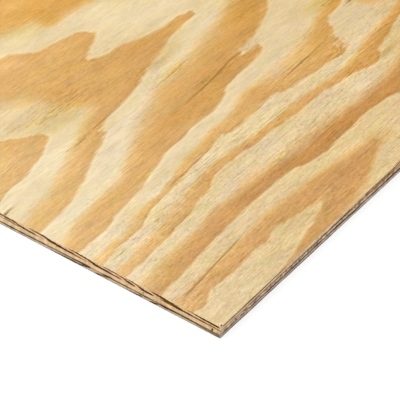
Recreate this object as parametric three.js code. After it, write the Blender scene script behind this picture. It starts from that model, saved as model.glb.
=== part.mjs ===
// A three-ply sanded pine plywood sheet, 4 ft by 8 ft, lying flat with its good face up.
// Millimetres. X runs along the sheet's length and the grain of its face, Y across it, and Z up.
// The origin is the middle of the sheet's underside.
import * as THREE from "three";

// The trimmed sheet.
const sheetLength = 2438.4;
const sheetWidth = 1219.2;

// The lay-up. The face and the back have their grain along the length, and the core across it.
const backThickness = 2.8;
const coreThickness = 2.7;
const faceThickness = 3.2;

// The sander takes this much off the outer arrises, and handling blunts the four corners.
const arrisEase = 0.3;
const cornerRadius = 0.8;
const cornerSteps = 4;

// Heights of the two glue lines and of the sanded face.
const underside = 0;
const lowerGlueLine = underside + backThickness;
const upperGlueLine = lowerGlueLine + coreThickness;
const sandedFace = upperGlueLine + faceThickness;

// The sheet's outline, drawn in by an inset, as points that run anticlockwise.
function sheetOutline(inset) {
  const halfLength = sheetLength / 2 - inset;
  const halfWidth = sheetWidth / 2 - inset;
  const radius = cornerRadius - inset;
  const outline = new THREE.Shape();
  const corners = [
    [1, 1],
    [-1, 1],
    [-1, -1],
    [1, -1],
  ];
  corners.forEach(([alongX, alongY], quarter) => {
    const start = (quarter * Math.PI) / 2;
    const centreX = alongX * (halfLength - radius);
    const centreY = alongY * (halfWidth - radius);
    outline.absarc(centreX, centreY, radius, start, start + Math.PI / 2, false);
  });
  return outline.extractPoints(cornerSteps).shape;
}

// A closed solid through the sheet's outline at each level. A level is a height and an inset,
// and the levels rise. Two plies that name the same level meet face to face on it.
function plyThrough(levels) {
  const loops = levels.map(({ inset }) => sheetOutline(inset));
  const count = loops[0].length;
  const position = [];
  levels.forEach(({ height }, level) => {
    loops[level].forEach((point) => position.push(point.x, point.y, height));
  });
  const index = [];
  for (let level = 1; level < levels.length; level += 1) {
    const below = (level - 1) * count;
    const above = level * count;
    for (let i = 0; i < count; i += 1) {
      const next = (i + 1) % count;
      index.push(below + i, below + next, above + next);
      index.push(below + i, above + next, above + i);
    }
  }
  const top = (levels.length - 1) * count;
  THREE.ShapeUtils.triangulateShape(loops[0], []).forEach(([a, b, c]) => index.push(c, b, a));
  THREE.ShapeUtils.triangulateShape(loops.at(-1), []).forEach(([a, b, c]) => {
    index.push(top + a, top + b, top + c);
  });
  const geometry = new THREE.BufferGeometry();
  geometry.setAttribute("position", new THREE.Float32BufferAttribute(position, 3));
  geometry.setIndex(index);
  geometry.computeVertexNormals();
  return geometry;
}

function ply(name, colour, roughness, levels) {
  const material = new THREE.MeshStandardMaterial({ color: colour, roughness, metalness: 0 });
  const mesh = new THREE.Mesh(plyThrough(levels), material);
  mesh.name = name;
  return mesh;
}

const sheet = new THREE.Group();
sheet.name = "plywood_sheet";

// The back veneer lies underneath, with its lower arris eased.
sheet.add(
  ply("back_veneer", 0xd2b084, 0.75, [
    { height: underside, inset: arrisEase },
    { height: underside + arrisEase, inset: 0 },
    { height: lowerGlueLine, inset: 0 },
  ]),
);

// The core veneer is the crossband, glued between the two, and it shows only on the sawn edges.
sheet.add(
  ply("core_veneer", 0xd8ab7e, 0.8, [
    { height: lowerGlueLine, inset: 0 },
    { height: upperGlueLine, inset: 0 },
  ]),
);

// The face veneer is the sanded good face, with its upper arris eased.
sheet.add(
  ply("face_veneer", 0xe6c890, 0.65, [
    { height: upperGlueLine, inset: 0 },
    { height: sandedFace - arrisEase, inset: 0 },
    { height: sandedFace, inset: arrisEase },
  ]),
);

export default sheet;
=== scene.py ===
"""A sheet of three-ply sanded pine plywood, 4 ft by 8 ft, lying flat on a pale floor."""

import math

import bpy
import numpy as np
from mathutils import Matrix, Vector


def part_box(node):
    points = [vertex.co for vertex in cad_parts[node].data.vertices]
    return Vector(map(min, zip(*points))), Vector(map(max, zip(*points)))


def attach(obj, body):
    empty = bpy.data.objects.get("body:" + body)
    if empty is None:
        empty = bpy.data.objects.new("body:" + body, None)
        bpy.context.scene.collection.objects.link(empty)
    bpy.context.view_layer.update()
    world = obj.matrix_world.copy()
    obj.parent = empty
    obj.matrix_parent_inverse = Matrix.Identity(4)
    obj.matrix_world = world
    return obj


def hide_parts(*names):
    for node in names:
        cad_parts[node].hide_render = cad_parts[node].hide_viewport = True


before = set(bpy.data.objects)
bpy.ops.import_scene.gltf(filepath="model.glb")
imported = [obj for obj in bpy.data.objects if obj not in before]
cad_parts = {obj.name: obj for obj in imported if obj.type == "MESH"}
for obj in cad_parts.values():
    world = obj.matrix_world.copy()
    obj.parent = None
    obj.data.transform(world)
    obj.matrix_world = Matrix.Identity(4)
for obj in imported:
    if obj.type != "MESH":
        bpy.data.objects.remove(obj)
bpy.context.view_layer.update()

# ---------------------------------------------------------------------------------------------
# Back veneer. The sheet lies on it. It is southern pine, peeled off the log in one long ribbon
# and clipped to the sheet's size with its grain along the sheet, then glued under the core.
# Its sawn edges show: end grain on the sheet's two ends, and side grain on its two long edges.
MM = 0.001
back_low, back_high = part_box("back_veneer")
left, front, underside = back_low
right, rear, lower_glue_line = back_high
upper_glue_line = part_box("core_veneer")[1].z
sanded_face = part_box("face_veneer")[1].z

# The veneers are divided by lines along and across them, closest near the front left corner. The
# first cell beside each edge holds the corner's round.
corner_radius = 0.8 * MM
corner_parts = 4
first_line = 1.0 * MM
fine_zone = 350 * MM
fine_length, fine_width = 5 * MM, 1.25 * MM
broad_length, broad_width = 24 * MM, 8 * MM
saw_step = 0.5 * MM
hair = 0.001 * MM


def spread_lines(size, fine, broad):
    """Distances of the dividing lines from the near edge: fine ones first, then broad ones."""
    near = np.arange(fine, fine_zone, fine)
    far = np.linspace(fine_zone, size - first_line, int((size - fine_zone) / broad))
    return np.concatenate([[0, first_line], near[near > first_line + fine / 2], far, [size]])


def split_for_saw(lines):
    """The same distances split again for the sawn edge, and where each dividing line is among them."""
    points, places = [lines[0]], [0]
    for start, stop in zip(lines, lines[1:]):
        parts = round((stop - start) / saw_step) if start < fine_zone else 1
        parts = corner_parts if stop - start <= first_line + hair else max(parts, 1)
        points += [start + (stop - start) * k / parts for k in range(1, parts + 1)]
        places.append(len(points) - 1)
    return np.array(points), np.array(places)


lines_along = spread_lines(right - left, fine_length, broad_length)
lines_across = spread_lines(rear - front, fine_width, broad_width)
saw_along, places_along = split_for_saw(lines_along)
saw_across, places_across = split_for_saw(lines_across)


def trace_outline():
    """The sheet's outline seen from above, anticlockwise, and each point's direction inwards."""
    x = np.concatenate([left + saw_along[:-1], np.full(len(saw_across) - 1, right),
                        left + saw_along[:0:-1], np.full(len(saw_across) - 1, left)])
    y = np.concatenate([np.full(len(saw_along) - 1, front), front + saw_across[:-1],
                        np.full(len(saw_along) - 1, rear), front + saw_across[:0:-1]])
    x[np.abs(x - right) < hair] = right
    y[np.abs(y - rear) < hair] = rear
    inward_x = (x == left) * 1.0 - (x == right)
    inward_y = (y == front) * 1.0 - (y == rear)
    centre_x = np.clip(x, left + corner_radius, right - corner_radius)
    centre_y = np.clip(y, front + corner_radius, rear - corner_radius)
    to_x, to_y = centre_x - x, centre_y - y
    reach = np.hypot(to_x, to_y)
    in_corner = (to_x != 0) & (to_y != 0)
    inward_x[in_corner] = (to_x / reach)[in_corner]
    inward_y[in_corner] = (to_y / reach)[in_corner]
    x = np.where(in_corner, centre_x - corner_radius * inward_x, x)
    y = np.where(in_corner, centre_y - corner_radius * inward_y, y)
    return x, y, inward_x, inward_y


outline_x, outline_y, inward_x, inward_y = trace_outline()


def outline_place(i, j):
    """Where the crossing of dividing lines i and j comes on the outline."""
    last_i, last_j = len(lines_along) - 1, len(lines_across) - 1
    span, rise = len(saw_along) - 1, len(saw_across) - 1
    if j == 0:
        place = places_along[i]
    elif i == last_i:
        place = span + places_across[j]
    elif j == last_j:
        place = span + rise + span - places_along[i]
    else:
        place = span + rise + span + rise - places_across[j]
    return int(place) % len(outline_x)


def cover(offset, first_vertex, divided):
    """Faces that close a veneer's top, and the crossings inside it that they need as new vertices."""
    last_i, last_j = len(lines_along) - 1, len(lines_across) - 1
    rows = list(range(last_j + 1)) if divided else [0, last_j]
    inside = [(i, j) for j in rows[1:-1] for i in range(1, last_i)]
    vertex = {cell: first_vertex + n for n, cell in enumerate(inside)}
    faces = []
    for j, above in zip(rows, rows[1:]):
        for i in range(last_i):
            ring = [(i, j), (i + 1, j), (i + 1, above), (i, above)]
            face = []
            for here, there in zip(ring, ring[1:] + ring[:1]):
                if here in vertex:
                    face.append(vertex[here])
                    continue
                start, stop = outline_place(*here), outline_place(*there)
                same_side = here[0] == there[0] in (0, last_i) or here[1] == there[1] in (0, last_j)
                steps = (stop - start) % len(outline_x) if same_side and there not in vertex else 1
                face += [offset + (start + n) % len(outline_x) for n in range(steps)]
            faces.append(face)
    return inside, faces


def lay_veneer(name, rim, show_top, show_bottom, surface, figure):
    """One veneer as a closed mesh.

    rim gives the levels of the sawn edge, upwards, as (height, how far in it is). surface(x, y)
    is how far the sander left a point below the veneer's flat face, and figure(x, y, z) gives the
    named values that the wood's figure is drawn from.
    """
    count = len(outline_x)
    heights = [height for height, inset in rim]
    points = [np.column_stack([outline_x + inset * inward_x, outline_y + inset * inward_y,
                               np.full(count, height)]) for height, inset in rim]
    faces = []
    for level in range(len(rim) - 1):
        low, high = level * count, (level + 1) * count
        faces += [(low + n, low + (n + 1) % count, high + (n + 1) % count, high + n) for n in range(count)]
    total = count * len(rim)
    for level, divided, side in ((0, show_bottom, 1), (len(rim) - 1, show_top, -1)):
        inside, closing = cover(level * count, total, divided)
        if inside:
            i, j = np.array(inside).T
            x, y = left + lines_along[i], front + lines_across[j]
            points.append(np.column_stack([x, y, heights[level] + side * surface(x, y)]))
            total += len(inside)
        faces += closing if side < 0 else [face[::-1] for face in closing]
    points = np.concatenate(points)
    inward = np.zeros_like(points)
    inward[:count * len(rim), 0] = np.tile(inward_x, len(rim))
    inward[:count * len(rim), 1] = np.tile(inward_y, len(rim))
    mesh = bpy.data.meshes.new(name)
    mesh.from_pydata(points.tolist(), [], faces)
    mesh.attributes.new("inward", "FLOAT_VECTOR", "POINT").data.foreach_set("vector", inward.ravel())
    for value, amounts in figure(*points.T).items():
        mesh.attributes.new(value, "FLOAT", "POINT").data.foreach_set("value", amounts)
    piece = bpy.data.objects.new(name, mesh)
    bpy.context.scene.collection.objects.link(piece)
    return piece


def smooth(low, high, value):
    """0 below low, 1 above high and a smooth ramp between them."""
    share = np.clip((value - low) / (high - low), 0, 1)
    return share * share * (3 - 2 * share)


lattice_size = 512


def lattice_noise(seed, length, width):
    """Smooth noise from 0 to 1, of a random value at each crossing of cells length by width."""
    table = np.random.default_rng(seed).random((lattice_size, lattice_size))

    def noise(a, b):
        """The noise at the places that are a along and b across."""
        i, j = np.floor(a / length).astype(int), np.floor(b / width).astype(int)
        s, t = smooth(0, 1, a / length - i), smooth(0, 1, b / width - j)
        here, there = i % lattice_size, (i + 1) % lattice_size
        low, high = j % lattice_size, (j + 1) % lattice_size
        near = table[here, low] * (1 - s) + table[there, low] * s
        far = table[here, high] * (1 - s) + table[there, high] * s
        return near * (1 - t) + far * t

    return noise


class Wire:
    """A value on its way through a finish, written with the usual signs of arithmetic."""

    def __init__(self, recipe, socket):
        self.recipe, self.socket = recipe, socket

    def __add__(self, other):
        return self.recipe.maths("ADD", self, other)

    def __sub__(self, other):
        return self.recipe.maths("SUBTRACT", self, other)

    def __rsub__(self, other):
        return self.recipe.maths("SUBTRACT", other, self)

    def __mul__(self, other):
        return self.recipe.maths("MULTIPLY", self, other)

    def __truediv__(self, other):
        return self.recipe.maths("DIVIDE", self, other)

    def __rtruediv__(self, other):
        return self.recipe.maths("DIVIDE", other, self)

    __radd__ = __add__
    __rmul__ = __mul__


class Recipe:
    """The finish of a material or of the sky, mixed node by node."""

    def __init__(self, block, shader="Principled BSDF"):
        block.use_nodes = True
        self.block = block
        self.nodes, self.links = block.node_tree.nodes, block.node_tree.links
        self.shader = self.nodes[shader]

    def node(self, kind, settings, inputs, output=0):
        """Adds a node, sets it, then gives its sockets their values or wires."""
        node = self.nodes.new(kind)
        for setting, value in settings.items():
            setattr(node, setting, value)
        for socket, value in inputs.items():
            self.give(node.inputs[socket], value)
        return Wire(self, node.outputs[output])

    def give(self, socket, value):
        """Gives a socket its wire or its plain value."""
        if isinstance(value, Wire):
            self.links.new(value.socket, socket)
        else:
            socket.default_value = value

    def maths(self, operation, *values):
        """One sum on numbers or wires."""
        return self.node("ShaderNodeMath", {"operation": operation}, dict(enumerate(values)))

    def ramp(self, value, low, high):
        """0 at low and 1 at high, smooth between them and level beyond, whichever is the greater."""
        limits = {"Value": value, "From Min": low, "From Max": high}
        return self.node("ShaderNodeMapRange", {"interpolation_type": "SMOOTHSTEP"}, limits)

    def mix(self, share, first, second, way="MIX"):
        """Colour first, with a share of second."""
        factor, colour_a, colour_b, result = 0, 6, 7, 2
        return self.node("ShaderNodeMix", {"data_type": "RGBA", "blend_type": way},
                         {factor: share, colour_a: first, colour_b: second}, output=result)

    def noise(self, grain, per_metre, detail=2.0, seed=0.0, roughness=0.5):
        """Noise from 0 to 1 with so many waves to the metre along x, y and z. The seed shifts it."""
        place = self.node("ShaderNodeVectorMath", {"operation": "MULTIPLY_ADD"},
                          {0: grain, 1: per_metre, 2: (seed, seed, seed)})
        return self.node("ShaderNodeTexNoise", {"noise_dimensions": "3D"},
                         {"Vector": place, "Scale": 1.0, "Detail": detail, "Roughness": roughness})

    def value_of(self, name):
        """A named value that the piece's mesh carries."""
        return self.node("ShaderNodeAttribute", {"attribute_name": name}, {}, output="Fac")

    def finish(self, **sockets):
        """Gives the shader's own sockets their values and hands over the finished block."""
        for socket, value in sockets.items():
            self.give(self.shader.inputs[socket.replace("_", " ")], value)
        return self.block


def stain(red, green, blue):
    """A colour as it is given, 0 to 255, as the linear light that a material needs: sRGB."""
    return tuple(((c / 255 + 0.055) / 1.055) ** 2.4 if c > 10 else c / 255 / 12.92
                 for c in (red, green, blue)) + (1.0,)


white = stain(255, 255, 255)


def sawn_sides(recipe):
    """Where a surface is the sheet's sawn end, and where it is its long edge, from 0 to 1."""
    facing = recipe.node("ShaderNodeNewGeometry", {}, {}, output="True Normal")
    sides = recipe.node("ShaderNodeSeparateXYZ", {}, {0: facing}).socket.node.outputs
    half_turned = 0.7
    return [recipe.maths("GREATER_THAN", recipe.maths("ABSOLUTE", Wire(recipe, sides[k])), half_turned)
            for k in (0, 1)]


def place_of(recipe):
    """The point of the sheet, whole and as x, y and z."""
    grain = recipe.node("ShaderNodeTexCoord", {}, {}, output="Object")
    parts = recipe.node("ShaderNodeSeparateXYZ", {}, {0: grain}).socket.node.outputs
    return grain, [Wire(recipe, parts[k]) for k in range(3)]


# The saw: how deep its teeth bite, how far apart their marks are and how far those lean for their
# height. Fibres are left sound where their noise is low and torn out where it is high, and they
# run along the sheet or across it, with so many to the metre in x, y and z.
tooth_depth, tooth_pitch, tooth_lean = 0.03 * MM, 2.4 * MM, 0.5
sound_below, torn_above = 0.4, 0.7
fibre_detail = 3.0
fibres_along, fibres_across = (90, 900, 900), (900, 90, 900)


def saw_tree():
    """Geometry Nodes that cut the saw's tooth marks and torn fibres into a veneer's sawn edge."""
    tree = bpy.data.node_groups.new("Sawn edge", "GeometryNodeTree")
    sockets = {}
    for name, kind in (("Veneer", "NodeSocketGeometry"), ("Tooth depth", "NodeSocketFloat"),
                       ("Tooth pitch", "NodeSocketFloat"), ("Tooth lean", "NodeSocketFloat"),
                       ("Tear depth", "NodeSocketFloat"), ("Fibres per metre", "NodeSocketVector"),
                       ("Finish", "NodeSocketMaterial")):
        sockets[name] = tree.interface.new_socket(name=name, in_out="INPUT", socket_type=kind).identifier
    tree.interface.new_socket(name="Veneer", in_out="OUTPUT", socket_type="NodeSocketGeometry")
    add, join = tree.nodes.new, tree.links.new
    taken, given = add("NodeGroupInput"), add("NodeGroupOutput")

    def maths(kind, operation, *values):
        """One sum on numbers or on the sockets of other nodes."""
        node = add(kind)
        node.operation = operation
        for n, value in enumerate(values):
            if isinstance(value, bpy.types.NodeSocket):
                join(value, node.inputs[n])
            else:
                node.inputs[n].default_value = value
        return node.outputs[0]

    place = add("GeometryNodeInputPosition").outputs[0]
    parts = add("ShaderNodeSeparateXYZ")
    join(place, parts.inputs[0])
    run = maths("ShaderNodeMath", "ADD", parts.outputs[0], parts.outputs[1])
    leaning = maths("ShaderNodeMath", "MULTIPLY_ADD", parts.outputs[2], taken.outputs["Tooth lean"], run)
    turns = maths("ShaderNodeMath", "DIVIDE", leaning, taken.outputs["Tooth pitch"])
    wave = maths("ShaderNodeMath", "SINE", maths("ShaderNodeMath", "MULTIPLY", turns, math.tau))
    half = 0.5
    from_nought = maths("ShaderNodeMath", "MULTIPLY_ADD", wave, half, half)
    teeth = maths("ShaderNodeMath", "MULTIPLY", from_nought, taken.outputs["Tooth depth"])
    fibres = add("ShaderNodeTexNoise")
    join(maths("ShaderNodeVectorMath", "MULTIPLY", place, taken.outputs["Fibres per metre"]),
         fibres.inputs["Vector"])
    fibres.inputs["Scale"].default_value = 1.0
    fibres.inputs["Detail"].default_value = fibre_detail
    torn = add("ShaderNodeMapRange")
    torn.interpolation_type = "SMOOTHSTEP"
    torn.inputs["From Min"].default_value = sound_below
    torn.inputs["From Max"].default_value = torn_above
    join(fibres.outputs[0], torn.inputs["Value"])
    bite = maths("ShaderNodeMath", "MULTIPLY_ADD", torn.outputs[0], taken.outputs["Tear depth"], teeth)
    inward = add("GeometryNodeInputNamedAttribute")
    inward.data_type = "FLOAT_VECTOR"
    inward.inputs["Name"].default_value = "inward"
    shift = maths("ShaderNodeVectorMath", "SCALE", inward.outputs[0])
    join(bite, shift.node.inputs["Scale"])
    move, whole = add("GeometryNodeSetPosition"), add("GeometryNodeRealizeInstances")
    paint = add("GeometryNodeSetMaterial")
    join(taken.outputs["Veneer"], move.inputs["Geometry"])
    join(shift, move.inputs["Offset"])
    join(move.outputs[0], whole.inputs[0])
    join(whole.outputs[0], paint.inputs["Geometry"])
    join(taken.outputs["Finish"], paint.inputs["Material"])
    join(paint.outputs[0], given.inputs[0])
    return tree, sockets


sawn_edge, saw_sockets = saw_tree()


def saw(piece, finish, tear_depth, fibres_per_metre):
    """Runs the saw round a veneer and gives it its finish."""
    cut = piece.modifiers.new("Sawn edge", "NODES")
    cut.node_group = sawn_edge
    for name, value in (("Tooth depth", tooth_depth), ("Tooth pitch", tooth_pitch),
                        ("Tooth lean", tooth_lean), ("Tear depth", tear_depth),
                        ("Fibres per metre", fibres_per_metre), ("Finish", finish)):
        cut[saw_sockets[name]] = value
    bpy.context.view_layer.update()
    evaluated = piece.evaluated_get(bpy.context.evaluated_depsgraph_get())
    uncut = piece.data
    mesh = bpy.data.meshes.new_from_object(evaluated, preserve_all_data_layers=True,
                                           depsgraph=bpy.context.evaluated_depsgraph_get())
    piece.modifiers.remove(cut)
    piece.data = mesh
    mesh.name = piece.name
    bpy.data.meshes.remove(uncut)


# The figure near the front left corner is laid out in drawing units: along the sheet and across
# it from that corner, and upwards so that the sanded face comes at drawn_face.
DRAWN = 0.964 * MM
drawn_face = 8.7


def drawn_place(x, y):
    """How far along and across the sheet points are from the front left corner, in drawing units."""
    return (x - left) / DRAWN, (y - front) / DRAWN


# Dark streaks that the year rings make across the sawn end and along the sawn long edge, each as
# points of: distance from the corner, top, foot, and how dark from 0 to 1. They are known as far
# as traced_across and traced_along, and the plain rings take over there.
back_end_streaks = [
    [(-2, 2.8, 0.4, 0.4), (8, 2.8, 0.4, 0.45), (12, 2.85, 0.9, 0.6), (18, 2.7, 1.5, 0.7),
     (21, 2.6, 1.7, 0.9), (27, 2.55, 1.8, 1.0), (30, 2.65, 1.9, 1.0), (36, 2.55, 1.3, 1.0),
     (40, 2.75, 1.3, 0.85), (44, 2.85, 2.0, 0.55), (47, 2.75, 2.1, 0.7), (52, 2.75, 1.7, 0.85),
     (55, 2.75, 1.8, 0.75), (60, 2.65, 2.3, 0.8), (64, 2.75, 2.3, 0.9), (67, 2.85, 2.1, 1.0),
     (70, 2.7, 2.15, 0.9), (75, 2.8, 2.1, 0.95), (78, 2.95, 2.1, 1.0), (82, 2.8, 1.9, 0.9),
     (85, 2.65, 2.4, 0.55), (91, 2.75, 2.5, 0.65), (94, 2.95, 2.1, 1.0), (101, 3.05, 2.0, 1.0),
     (106, 2.8, 2.1, 0.9), (113, 2.8, 2.2, 0.9), (119, 2.8, 2.2, 0.7), (123, 2.45, 2.0, 0.7),
     (128, 2.55, 1.9, 0.95), (133, 2.45, 1.8, 0.8), (139, 2.45, 1.7, 0.75), (145, 2.35, 1.5, 0.8),
     (149, 2.25, 1.7, 0.85), (154, 2.25, 1.4, 1.0), (158, 2.25, 1.6, 0.75), (164, 2.35, 1.8, 0.7),
     (176, 2.45, 1.9, 0.8)],
    [(41, 2.2, 1.6, 0.0), (43, 1.8, 1.1, 0.6), (46, 1.2, 0.3, 0.95), (48.5, 0.9, 0.1, 0.8),
     (50, 0.6, 0, 0.0)],
    [(51, 1.8, 1.3, 0.0), (54, 1.3, 0.7, 0.4), (57, 1.0, 0.4, 0.85), (60, 0.8, 0.1, 0.85),
     (67, 0.5, 0.0, 0.0)],
    [(77, 2.3, 1.9, 0.0), (81, 1.9, 1.3, 0.6), (84, 1.5, 0.8, 0.7), (87.5, 1.1, 0.1, 1.0),
     (90, 0.6, 0.0, 0.0)],
    [(91, 2.2, 1.8, 0.0), (95, 1.9, 1.4, 0.7), (100, 1.3, 0.5, 0.9), (108, 1.1, 0.4, 0.85),
     (116, 0.9, 0.2, 0.65), (127, 0.6, 0.0, 0.0)],
]
back_edge_streaks = [
    [(-2, 2.9, 2.25, 0.1), (3, 2.9, 2.2, 0.4), (7, 2.9, 2.2, 0.8), (13, 2.8, 2.25, 0.6), (22, 3, 2.35, 0.7),
     (25, 2.7, 2.25, 0.2), (29, 2.9, 2.25, 0.8), (38, 2.9, 2.25, 0.6), (46, 3, 2.25, 1.0),
     (57, 2.9, 2.25, 0.9), (66, 2.9, 2.25, 0.95), (80, 3.2, 2.35, 0.9), (96, 3.3, 2.35, 1.0),
     (104, 3.1, 2.45, 0.6), (110, 3.3, 2.35, 1.0), (120, 3.4, 2.25, 0.8), (134, 3, 1.85, 0.9),
     (142, 3.3, 2.45, 0.9), (148, 3.1, 2.35, 0.5), (154, 3.2, 2.25, 1.0), (164, 3.1, 2.15, 0.75),
     (172, 3.4, 2.25, 0.9), (188, 3.2, 2.25, 0.8)],
    [(6, 0.8, 0.3, 0.4), (12, 0.8, 0.3, 0.6), (20, 0.8, 0.3, 0.5), (26, 0.8, 0.3, 0.7), (40, 0.8, 0.2, 0.6),
     (48, 0.9, 0.4, 0.7), (56, 0.8, 0.3, 0.5), (67, 0.8, 0.2, 0.6), (80, 0.8, 0.2, 0.6),
     (95, 0.8, 0.2, 0.6), (108, 0.7, 0.2, 0.4), (125, 0.7, 0.2, 0.2), (142, 0.7, 0.3, 0.3),
     (165, 0.7, 0.2, 0.0)],
]
traced_across, traced_along = 176, 188

# How blurred the streaks' tops and feet are, how much wider than drawn they are, and over how far
# they give way to the plain rings.
streak_top_blur, streak_foot_blur = 0.15, 0.22
streak_spread = 0.1
streak_fade = 14


def trace_streaks(end_streaks, edge_streaks, reach_across, reach_along, x, y, z):
    """How dark the streaks are at each point, and from 0 to 1 whether they are known there."""
    a, b = drawn_place(x, y)
    height = drawn_face - (sanded_face - z) / DRAWN
    on_end = a < b
    dark = np.zeros(len(a))
    for streaks, run, here in ((end_streaks, b, on_end), (edge_streaks, a, ~on_end)):
        for streak in streaks:
            at, top, foot, strength = np.array(sorted(streak)).T
            above_foot = height - np.interp(run, at, foot) + streak_spread
            below_top = np.interp(run, at, top) + streak_spread - height
            shape = smooth(-streak_foot_blur, streak_foot_blur, above_foot)
            shape *= smooth(-streak_top_blur, streak_top_blur, below_top)
            shape *= np.interp(run, at, strength, 0, 0) * here
            dark = np.maximum(dark, shape)
    known = np.where(on_end, 1 - smooth(reach_across - streak_fade, reach_across, b),
                     1 - smooth(reach_along - streak_fade, reach_along, a))
    return dark, known


# The back's rings: how thick they are, the first one's number, how many more there are to the
# metre, and how far they swing, wave and ripple.
back_ring = 2.9 * MM
back_first, back_climb = 14, 1.6
back_swing, swing_width, swing_bend, bend_length = 2.4, 66 * MM, 0.9, 600 * MM
back_wave, back_waving = lattice_noise(21, 700 * MM, 120 * MM), 2.2
back_ripple, back_rippling = lattice_noise(22, 260 * MM, 38 * MM), 1.2


def back_figure(x, y, z):
    """Year rings through the back veneer, laid out on its underside."""
    swing = back_swing * np.cos((y - front) / swing_width + swing_bend * np.sin(x / bend_length))
    rings = back_first + back_climb * (x - left) + swing
    rings = rings + back_waving * back_wave(x, y) + back_rippling * back_ripple(x, y)
    dark, known = trace_streaks(back_end_streaks, back_edge_streaks, traced_across, traced_along, x, y, z)
    return {"ring": rings - (z - underside) / back_ring, "streak": dark, "traced": known}


def saw_bits(wood, grain, edge, end_waves, edge_waves):
    """Loose bits of fibre on all the sawn sides, and those of the long edges alone."""
    end_bits = wood.noise(grain, end_waves, detail=2.0, seed=15.0) - 0.5
    edge_bits = wood.noise(grain, edge_waves, detail=2.0, seed=17.0) - 0.5
    return wood.mix(edge, end_bits, edge_bits), edge_bits


# The saw's scores: their waves to the metre, and how strongly they paint shade on the sawn sides.
score_waves, score_shade = (460, 460, 90), 1.6


def shade_saw_hollows(wood, grain, colour, lightness, hollow_shade):
    """A sawn side's colour with painted shade in the saw's scores and hollows, from the hollows' painted
    shade up to its own colour.
    """
    scores = wood.noise(grain, score_waves, detail=1.0, seed=45.0) - 0.5
    shade = wood.mix(lightness + scores * score_shade, hollow_shade, white)
    return wood.mix(1.0, colour, shade, "MULTIPLY")


turn_from, turn_full = 0.4, 0.6


def in_turn(wood, tint, first, second):
    """One of two near colours or the other, changing slowly along the sheet."""
    return wood.mix(wood.ramp(tint, turn_from, turn_full), first, second)


# The back's colours: its early and late wood and its pores, then its sawn ends and sawn edges, pale,
# streaked and much streaked, and the painted shade on them: greyer near the corner, a dark painted
# shadow along their foot where the sheet meets the floor, and shade in the saw's hollows.
back_early, back_late = stain(222, 194, 148), stain(196, 148, 94)
back_pore = stain(120, 120, 120)
back_end_low, back_end_high = stain(226, 208, 184), stain(226, 200, 160)
back_end_some = stain(136, 106, 56), stain(134, 92, 52)
back_end_much = stain(72, 54, 22), stain(76, 44, 18)
back_side_pale = stain(246, 222, 192), stain(238, 216, 200)
back_side_some, back_side_much = stain(156, 120, 92), stain(80, 52, 34)
back_corner_shade, back_contact_shadow, back_hollow_shade = stain(150, 151, 130), stain(92, 72, 46), stain(196, 196, 196)

# Heights on the back's sawn sides, where the glue above it, the paler low wood and the painted shadow
# along the foot where the sheet meets the floor each begin and are at their full, and how far the
# painted shade near the corner reaches.
back_glue_from, back_glue_full = 2.0 * MM, 2.5 * MM
back_low_from, back_low_full = 1.9 * MM, 0.6 * MM
back_contact_shadow_from, back_contact_shadow_full = 0.75 * MM, 0.35 * MM
back_corner_shade_from, back_corner_shade_full = 22 * MM, 6 * MM
back_relief = 0.1 * MM

# Where in its year the back's late wood begins and is full, on the underside and on the sawn sides,
# and how dark a streak is where the streaked colour and the much streaked one begin and are full.
back_late_part, back_sawn_part = (0.42, 0.72), (0.55, 0.8)
back_some_from, back_much_from = (0.12, 0.5), (0.45, 0.9)


def back_finish():
    """Pale and tan pine below, and on the sawn sides the rings and the glue as dark streaks."""
    wood = Recipe(bpy.data.materials.new("back_veneer_pine"))
    grain, (x, y, z) = place_of(wood)
    end, edge = sawn_sides(wood)

    # The underside: pale early wood, darker late wood and open fibres.
    fibres = wood.noise(grain, (30, 900, 900), detail=3.0)
    speckle = wood.noise(grain, (300, 900, 1500), detail=3.0, seed=5.0)
    ragged = wood.noise(grain, (18, 300, 300), detail=3.0, seed=9.0)
    year = wood.maths("FRACT", wood.value_of("ring") + (ragged - 0.5) * 0.22)
    late = wood.ramp(year, *back_late_part)
    below = wood.mix(late, back_early, back_late)
    below = wood.mix(0.5, below, wood.mix(fibres, back_pore, white), "SOFT_LIGHT")

    # The sawn sides: streaks where the rings and the glue line are cut through.
    bits = saw_bits(wood, grain, edge, (900, 420, 700), (360, 900, 700))[0]
    tint = wood.noise(grain, (110, 110, 300), detail=1.0, seed=23.0)
    glue = wood.ramp(z + bits * 1.2 * MM, back_glue_from, back_glue_full) * 0.8
    streak = wood.maths("MAXIMUM", wood.ramp(year, *back_sawn_part), glue)
    streak = wood.mix(wood.value_of("traced"), streak, wood.value_of("streak"))
    streak = streak + bits * 0.9
    some, much = wood.ramp(streak, *back_some_from), wood.ramp(streak, *back_much_from)
    pale = wood.mix(wood.ramp(z, back_low_from, back_low_full), back_end_high, back_end_low)
    ends = wood.mix(some, pale, in_turn(wood, tint, *back_end_some))
    ends = wood.mix(much, ends, in_turn(wood, tint, *back_end_much))
    side = wood.mix(some, in_turn(wood, tint, *back_side_pale), back_side_some)
    side = wood.mix(much, side, back_side_much)
    sawn_colour = wood.mix(edge, ends, side)
    # Painted shade: the sawn sides turn greyer toward the near corner, and a dark painted shadow runs along
    # their foot where the sheet meets the floor.
    beyond = wood.maths("MAXIMUM", x - left, y - front)
    corner_shade = wood.ramp(beyond, back_corner_shade_from, back_corner_shade_full)
    sawn_colour = wood.mix(corner_shade * 0.4, sawn_colour, back_corner_shade)
    contact_shadow = wood.ramp(z + bits * 0.3 * MM, back_contact_shadow_from, back_contact_shadow_full) * 0.9
    sawn_colour = wood.mix(contact_shadow, sawn_colour, back_contact_shadow)
    # Painted shade in the saw's hollows and scores.
    sawn_colour = shade_saw_hollows(wood, grain, sawn_colour, 0.5 + bits, back_hollow_shade)

    colour = wood.mix(end + edge, below, sawn_colour)
    bump = wood.node("ShaderNodeBump", {}, {"Strength": 0.4, "Distance": back_relief, "Height": speckle})
    return wood.finish(Base_Color=colour, Roughness=0.78, Specular_IOR_Level=0.1, Normal=bump)


def unsanded(x, y):
    """A side that the sander leaves flat."""
    return np.zeros_like(x)


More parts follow.
